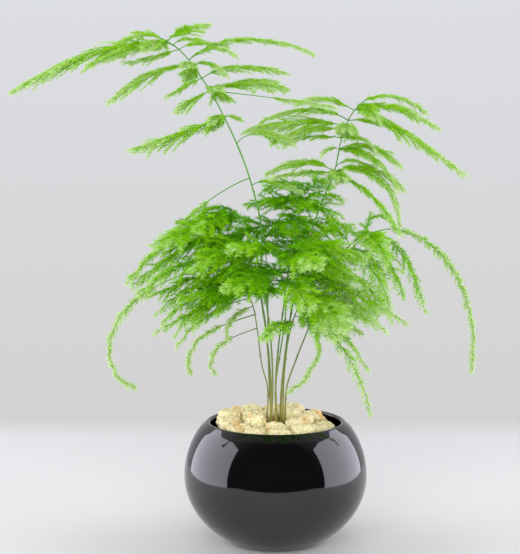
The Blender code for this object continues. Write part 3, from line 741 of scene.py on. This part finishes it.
def mesh_from(name: str, shape: bmesh.types.BMesh) -> bpy.types.Mesh:
    """Turn a bmesh into mesh data and free it."""
    data = bpy.data.meshes.new(name)
    shape.to_mesh(data)
    shape.free()
    return data


def turned(outline: list[tuple[float, float]], steps: int) -> bmesh.types.BMesh:
    """Spin an outline of radii and heights in millimetres into a closed shape."""
    shape = bmesh.new()
    points = [shape.verts.new((r * MM, 0.0, z * MM)) for r, z in outline]
    edges = [shape.edges.new(ends) for ends in zip(points, points[1:])]
    bmesh.ops.spin(shape, geom=points + edges, cent=(0, 0, 0), axis=(0, 0, 1),
                   angle=2 * math.pi, steps=steps, use_merge=True)
    bmesh.ops.remove_doubles(shape, verts=shape.verts, dist=WELD * MM)
    bmesh.ops.recalc_face_normals(shape, faces=shape.faces)
    return shape


@dataclass(frozen=True)
class Scatter:
    """Small broken lumps strewn over the soil.

    rise is the height of a lump's middle over the soil and flat its thickness, both as
    shares of its size, and slim the range of its width.
    """

    count: int
    sizes: tuple
    reach: float
    rise: float
    flat: float
    slim: tuple = (0.6, 0.9)

    def strew(self, shape: bmesh.types.BMesh, top: float, rng: random.Random) -> None:
        """Add the lumps to a shape.

        Args:
            shape: the shape that gets them.
            top: height of the soil, in millimetres.
            rng: source of their places, sizes and turns.
        """
        for _ in range(self.count):
            away, turn = self.reach * math.sqrt(rng.random()), rng.uniform(0, 2 * math.pi)
            size = rng.uniform(*self.sizes)
            spot = Vector((away * math.cos(turn), away * math.sin(turn),
                           top + self.rise * size))
            place = (Matrix.Translation(spot * MM)
                     @ Euler([rng.uniform(0, math.pi) for _ in range(3)]).to_matrix().to_4x4()
                     @ Matrix.Diagonal((1.0, rng.uniform(*self.slim), self.flat, 1.0)))
            bmesh.ops.create_icosphere(shape, subdivisions=1, radius=0.5 * size * MM,
                                       matrix=place)


@dataclass
class Stamps:
    """Many copies of one small closed shape, each stretched between two points."""

    levels: tuple = (0.0, 1.0)
    starts: list = field(default_factory=list)
    spans: list = field(default_factory=list)
    bends: list = field(default_factory=list)
    radii: list = field(default_factory=list)
    tones: list = field(default_factory=list)

    def add(self, starts: np.ndarray, spans: np.ndarray, bends: np.ndarray,
            radii: np.ndarray, tones: np.ndarray) -> None:
        """Add rows of copies: start points, spans, bends at the tip, radii and tones."""
        for store, rows in zip((self.starts, self.spans, self.bends, self.radii, self.tones),
                               (starts, spans, bends, radii, tones)):
            store.append(rows)

    def unit(self) -> tuple[np.ndarray, np.ndarray]:
        """The shape that is copied.

        Returns:
            Points and triangles of a three-sided spike from 0 to 1 on Z, ringed at each level
            below its point.
        """
        shape = bmesh.new()
        bmesh.ops.create_cone(shape, cap_ends=True, segments=3, radius1=1.0, radius2=0.0,
                              depth=1.0, matrix=Matrix.Translation((0, 0, 0.5)))
        for level in self.levels[1:-1]:
            bmesh.ops.bisect_plane(shape, geom=[*shape.verts, *shape.edges, *shape.faces],
                                   plane_co=(0, 0, level), plane_no=(0, 0, 1))
        bmesh.ops.triangulate(shape, faces=shape.faces)
        shape.verts.index_update()
        points = np.array([v.co[:] for v in shape.verts])
        faces = np.array([[v.index for v in f.verts] for f in shape.faces])
        shape.free()
        return points, faces

    def mesh(self, name: str, also: "Stamps | None" = None) -> bpy.types.Mesh:
        """Stamp all copies into one mesh with a tone for every point.

        Args:
            name: the mesh's name.
            also: further copies for the same mesh.

        Returns:
            The mesh in metres, with the point attribute "freshness".
        """
        points, faces, tones = self.placed()
        if also is not None:
            more_points, more_faces, more_tones = also.placed()
            faces = np.vstack([faces, more_faces + len(points)])
            points = np.vstack([points, more_points])
            tones = np.concatenate([tones, more_tones])
        data = bpy.data.meshes.new(name)
        data.from_pydata((points * MM).tolist(), [], faces.tolist())
        mark = data.attributes.new("freshness", "FLOAT", "POINT")
        mark.data.foreach_set("value", tones.astype(np.float32))
        return data

    def placed(self) -> tuple[np.ndarray, np.ndarray, np.ndarray]:
        """All copies' points, triangles and tones."""
        starts, spans, bends = (np.vstack(rows) for rows in (self.starts, self.spans,
                                                             self.bends))
        radii, tones = np.concatenate(self.radii), np.concatenate(self.tones)
        points, faces = self.unit()
        lengths = np.linalg.norm(spans, axis=1)[:, None]
        ahead = spans / lengths
        helper = np.where(np.abs(ahead[:, 2:3]) > 0.9, [[1.0, 0.0, 0.0]], [[0.0, 0.0, 1.0]])
        across = np.cross(helper, ahead)
        across /= np.linalg.norm(across, axis=1)[:, None]
        other = np.cross(ahead, across)
        wide = radii[:, None, None]
        x, y, z = (points[None, :, k:k + 1] for k in range(3))
        made = (starts[:, None] + spans[:, None] * z + bends[:, None] * z**2
                + (across[:, None] * x + other[:, None] * y) * wide)
        offsets = np.arange(len(starts))[:, None, None] * len(points)
        return (made.reshape(-1, 3), (faces[None] + offsets).reshape(-1, 3),
                np.repeat(tones, len(points)))


class Growth(Enum):
    """How the twigs of a frond stand."""

    SWEPT = "long twigs laid forward, as on the tall stems"
    BUSHY = "twigs to all sides, as in the crown"
    YOUNG = "a soft round brush, as on shoots that still unfold"


@dataclass(frozen=True)
class Manner:
    """Twigs and needles of one growth, in millimetres and degrees.

    spacing is that of the twigs along a rib, stretch the twigs' length over the frond's half
    width, least their shortest, lean their angle to the rib, roll how far they turn out of
    the frond's plane and sag how far they hang. tuft needles of a length and radius stand at
    each step of every twig, at angles out of fan, and lift is how far they leave the plane.
    """

    spacing: float
    stretch: float
    least: float
    lean: tuple
    roll: float
    sag: float
    step: float
    tuft: int
    needle: float
    radius: float
    fan: tuple
    lift: float


MANNERS = {
    Growth.SWEPT: Manner(1.05, 1.7, 4.0, (16, 42), 18.0, 0.14, 1.45, 6, 4.6, 0.24, (8, 46),
                         0.3),
    Growth.BUSHY: Manner(1.5, 1.3, 3.0, (28, 62), 34.0, 0.14, 1.4, 7, 4.8, 0.21, (16, 72),
                         0.42),
    Growth.YOUNG: Manner(0.6, 0.65, 2.4, (30, 66), 120.0, 0.06, 0.8, 8, 3.2, 0.14, (18, 66),
                         0.5),
}


@dataclass
class Frondage:
    """The leaves of one stem: alternate twigs along each rib, set with tufts of needles."""

    stem: Stem
    twig_radius: float = 0.15
    curled: float = -95.0
    # painted shade: leaves in the middle of the crown, inside these bounds, take a deeper green
    painted_shade_core: tuple = (-16.0, 20.0, 60.0)
    crest: tuple = (215.0, 250.0)
    skirt: tuple = (174.0, 140.0)
    young_tone: tuple = (0.72, 0.26)
    swept_tone: tuple = (0.52, 0.32)
    crown_tone: tuple = (0.03, 0.26, 0.44, 0.14)
    twig_bend: tuple = (0.22, 0.1)
    tip_needles: int = 9
    twigs: Stamps = field(default_factory=lambda: Stamps((0.0, 0.55, 1.0)))
    needles: Stamps = field(default_factory=Stamps)

    def grow(self, rng: np.random.Generator) -> None:
        """Grow twigs and needles on every frond of the stem."""
        curve = self.stem.curve()
        for spray in self.stem.sprays:
            self.grow_frond(spray, curve[round(spray.at * CURVE_STEPS)], rng)

    def growth(self, spray: Spray) -> Growth:
        """The growth of a frond: shoots that curl over are the newest."""
        if spray.droop < self.curled:
            return Growth.YOUNG
        return Growth.SWEPT if self.stem.name.startswith("tall") else Growth.BUSHY

    def tone(self, growth: Growth, share: float, place: np.ndarray) -> float:
        """Freshness of the leaves, from deep green in the middle of the crown to pale at the
        tips; the deep green in the crown's middle is painted shade.

        Args:
            growth: the frond's growth.
            share: how far out along the frond.
            place: the point, in millimetres.

        Returns:
            A share from 0 to 1.
        """
        if growth is not Growth.BUSHY:
            least, gain = self.young_tone if growth is Growth.YOUNG else self.swept_tone
            return least + gain * share
        # painted shade: the nearer a leaf is to the middle of the crown and the further from its
        # top and bottom, the deeper its green
        middle, inner, outer = self.painted_shade_core
        away = (math.hypot(place[0] - middle, 0.7 * place[1]) - inner) / (outer - inner)
        high, low = ((place[2] - start) / (stop - start)
                     for start, stop in (self.crest, self.skirt))
        least, outwards, core_shade_depth, under = self.crown_tone
        return (least + outwards * share**1.6
                + core_shade_depth * min(1.0, max(0.0, away, high, low))
                + under * min(1.0, max(0.0, low)))

    def grow_frond(self, spray: Spray, root: np.ndarray, rng: np.random.Generator) -> None:
        """Grow one frond.

        Args:
            spray: the frond's course.
            root: where it leaves the shoot.
            rng: source of the small irregularities.
        """
        growth = self.growth(spray)
        manner = MANNERS[growth]
        steps = max(10, round(spray.length))
        line, forward, side, up = spray.line(root, steps)
        count = max(4, round(spray.length * (1 - spray.bare) / manner.spacing))
        shares = spray.bare + (1 - spray.bare) * (np.arange(count) + 0.35) / count
        shares = np.clip(shares + rng.uniform(-0.2, 0.2, count) / count, 0.0, 0.995)
        for k, share in enumerate(shares):
            spot = share * steps
            i = min(int(spot), steps - 1)
            start = line[i] + (line[i + 1] - line[i]) * (spot - i)
            length = max(manner.least,
                         spray.reach(share) * manner.stretch * rng.uniform(0.78, 1.12))
            roll = math.radians(rng.normal(0.0, manner.roll)) + (math.pi if k % 2 else 0.0)
            across = side[i] * math.cos(roll) + up[i] * math.sin(roll)
            lean = math.radians(rng.uniform(*manner.lean))
            ahead = forward[i] * math.cos(lean) + across * math.sin(lean)
            bend = (forward[i] * self.twig_bend[0] - up[i] * self.twig_bend[1]) * length
            bend[2] -= manner.sag * length
            tone = self.tone(growth, share, start) + rng.normal(0.0, 0.05)
            self.twigs.add(start[None], (ahead * length)[None], bend[None],
                           np.array([self.twig_radius]), np.array([max(0.0, tone - 0.12)]))
            self.set_tufts(start, ahead * length, bend, up[i], tone, manner, rng)
        tone = self.tone(growth, 1.0, line[-1])
        self.tip_tuft(line[-1], forward[-1], side[-1], tone, manner, rng)

    def set_tufts(self, start: np.ndarray, span: np.ndarray, bend: np.ndarray,
                  up: np.ndarray, tone: float, manner: Manner,
                  rng: np.random.Generator) -> None:
        """Set tufts of needles along one twig.

        Args:
            start: the twig's root.
            span: from its root to its unbent tip.
            bend: how far the tip is pulled aside.
            up: the frond's upper side.
            tone: freshness at the twig.
            manner: sizes and angles of the needles.
            rng: source of the small irregularities.
        """
        length = np.linalg.norm(span)
        tufts = max(1, round(length / manner.step))
        t = np.repeat((np.arange(tufts) + 0.6) / tufts, manner.tuft)
        total = len(t)
        t = np.clip(t + rng.normal(0.0, 0.02, total), 0.02, 1.0)
        roots = start + span * t[:, None] + bend * (t**2)[:, None]
        along = span + 2.0 * bend * t[:, None]
        along /= np.linalg.norm(along, axis=1)[:, None]
        across = np.cross(up, along)
        across /= np.linalg.norm(across, axis=1)[:, None]
        fan = np.radians(rng.uniform(*manner.fan, total)) * rng.choice((-1.0, 1.0), total)
        lift = rng.normal(0.0, manner.lift, total)
        ways = (along * np.cos(fan)[:, None] + across * np.sin(fan)[:, None]
                + up * lift[:, None])
        ways /= np.linalg.norm(ways, axis=1)[:, None]
        lengths = manner.needle * rng.uniform(0.62, 1.1, total) * (1.0 - 0.25 * t)
        tones = tone + 0.22 * t + rng.normal(0.0, 0.07, total)
        self.needles.add(roots, ways * lengths[:, None], np.zeros((total, 3)),
                         manner.radius * rng.uniform(0.85, 1.15, total),
                         np.clip(tones, 0.0, 1.0))

    def tip_tuft(self, end: np.ndarray, forward: np.ndarray, side: np.ndarray, tone: float,
                 manner: Manner, rng: np.random.Generator) -> None:
        """Close a frond with a small brush of needles at its tip."""
        total = self.tip_needles
        ways = (forward + side * rng.uniform(-0.4, 0.4, (total, 1))
                + rng.normal(0.0, 0.12, (total, 3)))
        ways /= np.linalg.norm(ways, axis=1)[:, None]
        lengths = manner.needle * rng.uniform(0.5, 0.9, total)
        self.needles.add(np.repeat(end[None], total, axis=0), ways * lengths[:, None],
                         np.zeros((total, 3)), np.full(total, manner.radius),
                         np.full(total, min(1.0, tone + 0.15)))

    def dress(self, finish: bpy.types.Material) -> None:
        """Show the leaves of the stem as one piece."""
        data = self.twigs.mesh(self.stem.name + "_leaves", self.needles)
        show(self.stem.name + "_leaves", data, finish,
             (self.stem.name,), smooth=False)


@dataclass
class Shoot:
    """The wiry shoot of one stem with the ribs of its fronds and its papery bracts."""

    stem: Stem
    tip_radius: float = 0.36
    foot_share: float = 0.64
    rib_root_radius: float = 0.4
    rib_tip_radius: float = 0.14
    rib_step: float = 3.5
    joint_spacing: float = 27.0
    joint_swell: float = 1.28
    bract_length: float = 4.6
    bract_width: float = 1.5

    def tubes(self) -> bpy.types.Mesh:
        """Shoot and ribs as round tapered tubes.

        Returns:
            One mesh, made from a bevelled curve with a spline for the shoot and one for
            each rib.
        """
        curve = bpy.data.curves.new(self.stem.name + "_tubes", "CURVE")
        curve.dimensions = "3D"
        curve.bevel_depth = MM
        curve.bevel_resolution = 1
        curve.use_fill_caps = True
        course = self.stem.curve()
        self.spline(curve, course, self.shoot_radii(course))
        for spray in self.stem.sprays:
            steps = max(6, round(spray.length / self.rib_step))
            line = spray.line(course[round(spray.at * CURVE_STEPS)], steps)[0]
            share = np.linspace(0.0, 1.0, len(line))
            slim = 0.7 + 0.3 * min(1.0, spray.length / 60.0)
            radii = slim * (self.rib_root_radius * (1 - share) + self.rib_tip_radius * share)
            self.spline(curve, line, radii)
        holder = add_object("holder", curve)
        bpy.context.view_layer.update()
        seen = holder.evaluated_get(bpy.context.evaluated_depsgraph_get())
        data = bpy.data.meshes.new_from_object(seen)
        bpy.data.objects.remove(holder)
        return data

    def shoot_radii(self, course: np.ndarray) -> np.ndarray:
        """Radii along the shoot, slightly swollen at its joints."""
        share = np.linspace(0.0, 1.0, len(course))
        foot = self.foot_share * self.stem.foot_radius - self.tip_radius
        radii = self.tip_radius + foot * (1 - share) ** 1.3
        run = share * np.linalg.norm(np.diff(course, axis=0), axis=1).sum()
        near = np.abs((run - 9.0) % self.joint_spacing - self.joint_spacing / 2)
        return radii * (1 + (self.joint_swell - 1) * np.exp(-((near - self.joint_spacing / 2)
                                                             / 1.6) ** 2))

    def spline(self, curve: bpy.types.Curve, points: np.ndarray, radii: np.ndarray) -> None:
        """Add one poly spline with a radius at each point, in millimetres."""
        run = curve.splines.new("POLY")
        run.points.add(len(points) - 1)
        run.points.foreach_set("co", np.hstack([points * MM, np.ones((len(points), 1))])
                               .ravel())
        run.points.foreach_set("radius", radii)

    def bracts(self, rng: random.Random) -> bpy.types.Mesh:
        """Papery scale leaves at the joints.

        Args:
            rng: source of their turns.

        Returns:
            One mesh of slim closed cones that clasp the shoot.
        """
        course = self.stem.curve()
        total = np.linalg.norm(np.diff(course, axis=0), axis=1).sum()
        shape = bmesh.new()
        for k in range(1, int((total - 9.0) / self.joint_spacing) + 1):
            share = (9.0 + k * self.joint_spacing) / total
            i = min(int(share * CURVE_STEPS), CURVE_STEPS - 1)
            ahead = Vector(course[i + 1] - course[i]).normalized()
            lean = Euler((math.radians(rng.uniform(14, 24)), 0, rng.uniform(0, 2 * math.pi)))
            turn = ahead.to_track_quat("Z", "Y").to_matrix().to_4x4() @ lean.to_matrix().to_4x4()
            size = rng.uniform(0.8, 1.15)
            place = (Matrix.Translation(Vector(course[i]) * MM) @ turn
                     @ Matrix.Translation((0, 0.55 * MM, 0.4 * self.bract_length * size * MM))
                     @ Matrix.Diagonal((1.0, 0.45, 1.0, 1.0)))
            bmesh.ops.create_cone(shape, cap_ends=True, segments=8, matrix=place,
                                  radius1=0.5 * self.bract_width * size * MM, radius2=0.0,
                                  depth=self.bract_length * size * MM)
        return mesh_from(self.stem.name + "_bracts", shape)

    def dress(self, skin: bpy.types.Material, paper: bpy.types.Material,
              rng: random.Random) -> None:
        """Show the shoot and its bracts."""
        show(self.stem.name + "_shoot", self.tubes(), skin, (self.stem.name,))
        show(self.stem.name + "_bracts", self.bracts(rng), paper, (self.stem.name,))


@dataclass
class Bowl:
    """The round glazed bowl, turned on the wheel: egg-shaped wall, rolled lip, foot ring."""

    belly_radius: float = 60.0
    belly_height: float = 45.0
    outer_rise: float = 56.3
    outer_fall: float = 49.9
    inner_radius: float = 56.0
    inner_rise: float = 51.7
    inner_fall: float = 45.9
    lip_centre: tuple = (44.3, 79.1)
    lip_radius: float = 1.85
    floor: float = 5.0
    foot_ring: tuple = ((0.0, 1.6), (18.5, 1.6), (20.0, 0.2), (21.0, 0.0), (24.6, 0.0))
    sides: int = 160

    def wall(self, height: float, widest: float, rise: float, fall: float) -> float:
        """Radius of the egg-shaped wall at a height."""
        away = height - self.belly_height
        return widest * math.sqrt(1.0 - (away / (rise if away > 0 else fall)) ** 2)

    def profile(self) -> list[tuple[float, float]]:
        """Outline of the wall from the foot's middle, over the lip, to the floor's middle."""
        outer = [(self.wall(z, self.belly_radius, self.outer_rise, self.outer_fall), z)
                 for z in np.concatenate([[0.35, 1.0, 2.0], np.linspace(3.5, 77.5, 38)])]
        turns = np.radians(np.linspace(32, 172, 11))
        x, z = self.lip_centre
        lip = [(x + self.lip_radius * math.cos(a), z + self.lip_radius * math.sin(a))
               for a in turns]
        inner = [(self.wall(z, self.inner_radius, self.inner_rise, self.inner_fall), z)
                 for z in np.concatenate([[78.2, 76.5], np.linspace(74.0, self.floor, 22)])]
        return [*self.foot_ring, *outer, *lip, *inner, (0.0, self.floor)]

    def dress(self, glaze: bpy.types.Material) -> None:
        """Spin the outline into the bowl and show it."""
        data = mesh_from("glazed_bowl", turned(self.profile(), self.sides))
        show("glazed_bowl", data, glaze, ("bowl",))


@dataclass
class Soil:
    """The plug of soil: a crumbly top with loose crumbs, and sides that fill the bowl."""

    radius: float = 47.2
    top: float = 69.0
    rings: int = 24
    sides: int = 96
    below: tuple = ((50.2, 58.0), (54.2, 44.0), (49.0, 26.0), (33.0, 11.0), (20.0, 6.0),
                    (0.0, 6.0))
    relief: float = 0.9
    lumps: tuple = ((6.0, 1.0), (2.2, 0.6))
    crumbs: Scatter = Scatter(240, (0.8, 2.2), 45.0, rise=0.2, flat=0.6)

    def dress(self, finish: bpy.types.Material) -> None:
        """Build the plug of soil and its crumbs and show them."""
        flat = [(self.radius * r / self.rings, self.top) for r in range(self.rings + 1)]
        shape = turned([*flat, *self.below], self.sides)
        for point in shape.verts:
            if point.co.z > (self.top - 1.0) * MM:
                lumps = sum(height * noise.noise(point.co / MM / size)
                            for size, height in self.lumps)
                point.co.z += self.relief * (lumps - 0.6) * MM
        self.crumbs.strew(shape, self.top, random.Random(SEED))
        show("soil_crumble", mesh_from("soil_crumble", shape), finish,
             ("soil",))


@dataclass
class StoneBed:
    """The tuff stones on the soil and the grit between them."""

    cuts: int = 5
    lumps: tuple = ((6.0, 1.0), (3.6, 2.2), (1.6, 0.8))
    sink: float = 0.3
    grit: Scatter = Scatter(110, (1.2, 3.2), 44.0, rise=0.25, flat=0.7)

    def roughen(self, shape: bmesh.types.BMesh, seed: Vector) -> None:
        """Break up a stone's surface with lumps, clods and grains.

        Args:
            shape: the stone, finely divided.
            seed: shifts the pattern, so no two stones are alike.
        """
        shape.normal_update()
        (lump_size, lump), *clods = self.lumps
        moves = []
        for point in shape.verts:
            spot = point.co / MM + seed
            rise = lump * noise.noise(spot / lump_size) - self.sink
            for size, height in clods:
                rise += height * (0.45 - noise.voronoi(spot / size)[0][0])
            moves.append(point.normal * rise * MM)
        for point, move in zip(shape.verts, moves):
            point.co += move

    def scatter_grit(self, finish: bpy.types.Material, rng: random.Random) -> None:
        """Strew small broken pieces over the soil between the stones."""
        shape = bmesh.new()
        self.grit.strew(shape, Soil.top, rng)
        show("tuff_grit", mesh_from("tuff_grit", shape), finish, (),
             smooth=False)

    def dress(self, finish: bpy.types.Material) -> None:
        """Make a rough stone over each solid of the heap, and the grit."""
        rng = random.Random(SEED)
        names = sorted(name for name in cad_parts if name.startswith("stone_"))
        for name in names:
            shape = bmesh.new()
            shape.from_mesh(bpy.data.objects[name].data)
            bmesh.ops.remove_doubles(shape, verts=shape.verts, dist=0.01 * MM)
            bmesh.ops.subdivide_edges(shape, edges=shape.edges, cuts=self.cuts,
                                      use_grid_fill=True, smooth=0.6)
            bmesh.ops.triangulate(shape, faces=shape.faces)
            self.roughen(shape, Vector((rng.uniform(0, 50), rng.uniform(0, 50), 0)))
            piece = name.replace("stone", "tuff")
            show(piece, mesh_from(piece, shape), finish, (name,))
        self.scatter_grit(finish, rng)


@dataclass
class Studio:
    """Pale table, two large side panels, a soft top light and the photograph's camera."""

    table_size: float = 1400.0
    panel_away: float = 900.0
    panel_size: tuple = (1300.0, 1000.0)
    panel_power: float = 12.0
    panel_tint: str = "#f4f0ff"
    top_power: float = 2.5
    fill_power: float = 22.0
    wall_span: tuple = (-0.22, 0.06)
    wall_tints: tuple = ("#d2d1d0", "#dddfe4")
    room_span: tuple = (-0.5, 0.3)
    room_tints: tuple = ("#2a2a2e", "#d8dade")
    room_glow: float = 0.9

    def table(self, finish: bpy.types.Material) -> None:
        """Lay the table under the bowl."""
        shape = bmesh.new()
        bmesh.ops.create_grid(shape, x_segments=1, y_segments=1,
                              size=0.5 * self.table_size * MM)
        data = mesh_from("table", shape)
        data.materials.append(finish)
        add_object("table", data)

    def light(self, name: str, size: tuple, power: float, place: tuple,
              target: tuple, mirrored: bool = True, tint: str = "#ffffff") -> None:
        """Hang one soft rectangular light.

        Args:
            name: the light's name.
            size: its width and height.
            power: its power in watts.
            place: where it hangs.
            target: what it faces.
            mirrored: whether the glaze mirrors it.
            tint: its colour.
        """
        lamp = bpy.data.lights.new(name, "AREA")
        lamp.shape = "RECTANGLE"
        lamp.size, lamp.size_y = size[0] * MM, size[1] * MM
        lamp.energy = power
        lamp.color = colour(tint)[:3]
        hung = add_object(name, lamp)
        hung.location = Vector(place) * MM
        hung.rotation_euler = (Vector(place) - Vector(target)).to_track_quat("Z", "Y").to_euler()
        hung.visible_camera = False
        hung.visible_glossy = mirrored

    def surround(self) -> None:
        """Give the world a pale backdrop and a dark front for the glaze to mirror."""
        world = bpy.data.worlds.new("studio")
        bpy.context.scene.world = world
        world.use_nodes = True
        tree = world.node_tree
        tree.nodes.clear()
        way = add_node(tree, "TexCoord").outputs["Generated"]
        axes = add_node(tree, "SeparateXYZ", None, {0: way})
        seen, room = (
            add_node(tree, "ValToRGB", {"stops": tuple(enumerate(tints))}, {
                0: add_node(tree, "MapRange", {"From Min": span[0], "From Max": span[1]},
                            {0: axes.outputs[axis]}).outputs[0]})
            for axis, span, tints in ((2, self.wall_span, self.wall_tints),
                                      (1, self.room_span, self.room_tints)))
        shown = add_node(tree, "Background", None, {0: seen.outputs[0]})
        mirrored = add_node(tree, "Background", {1: self.room_glow}, {0: room.outputs[0]})
        ray = add_node(tree, "LightPath")
        both = add_node(tree, "MixShader", None, {0: ray.outputs["Is Camera Ray"],
                                                  1: mirrored.outputs[0],
                                                  2: shown.outputs[0]})
        add_node(tree, "OutputWorld", None, {0: both.outputs[0]})

    def camera(self) -> None:
        """Set up the camera where the photograph was taken."""
        view = View()
        data = bpy.data.cameras.new("photo view")
        data.sensor_width = view.sensor
        data.lens = view.focal_pixels / max(view.pixels) * data.sensor_width
        data.clip_start, data.clip_end = view.clip
        camera = add_object("photo view", data)
        camera.location = Vector(view.place) * MM
        camera.rotation_euler = (math.radians(90.0 - view.pitch), 0.0, 0.0)
        bpy.context.scene.camera = camera

    def set_up(self) -> None:
        """Build the whole studio."""
        bpy.context.scene.view_settings.view_transform = "Standard"
        self.table(TableTop().make())
        for side in (-1, 1):
            self.light("panel", self.panel_size, self.panel_power,
                       (side * self.panel_away, 150.0, 400.0), (0.0, 150.0, 400.0),
                       tint=self.panel_tint)
        self.light("top", (900.0, 900.0), self.top_power, (0.0, -100.0, 1100.0),
                   (0.0, 0.0, 150.0), mirrored=False)
        self.light("front fill", (1400.0, 900.0), self.fill_power, (-100.0, -1250.0, 420.0),
                   (0.0, 0.0, 190.0), mirrored=False)
        self.surround()
        self.camera()


def main() -> None:
    """Build and dress the potted lace fern."""
    logging.basicConfig(level=logging.INFO, format="%(message)s")
    Studio().set_up()
    Bowl().dress(BlackGlaze().make())
    Soil().dress(PottingSoil().make())
    StoneBed().dress(Tuff().make())
    leaf, skin, paper = Cladode().make(), ShootSkin().make(), PaperyBract().make()
    draws, turns = np.random.default_rng(SEED), random.Random(SEED)
    for stem in Habit().filled():
        Shoot(stem).dress(skin, paper, turns)
        leaves = Frondage(stem)
        leaves.grow(draws)
        leaves.dress(leaf)


if __name__ == "__main__":
    main()
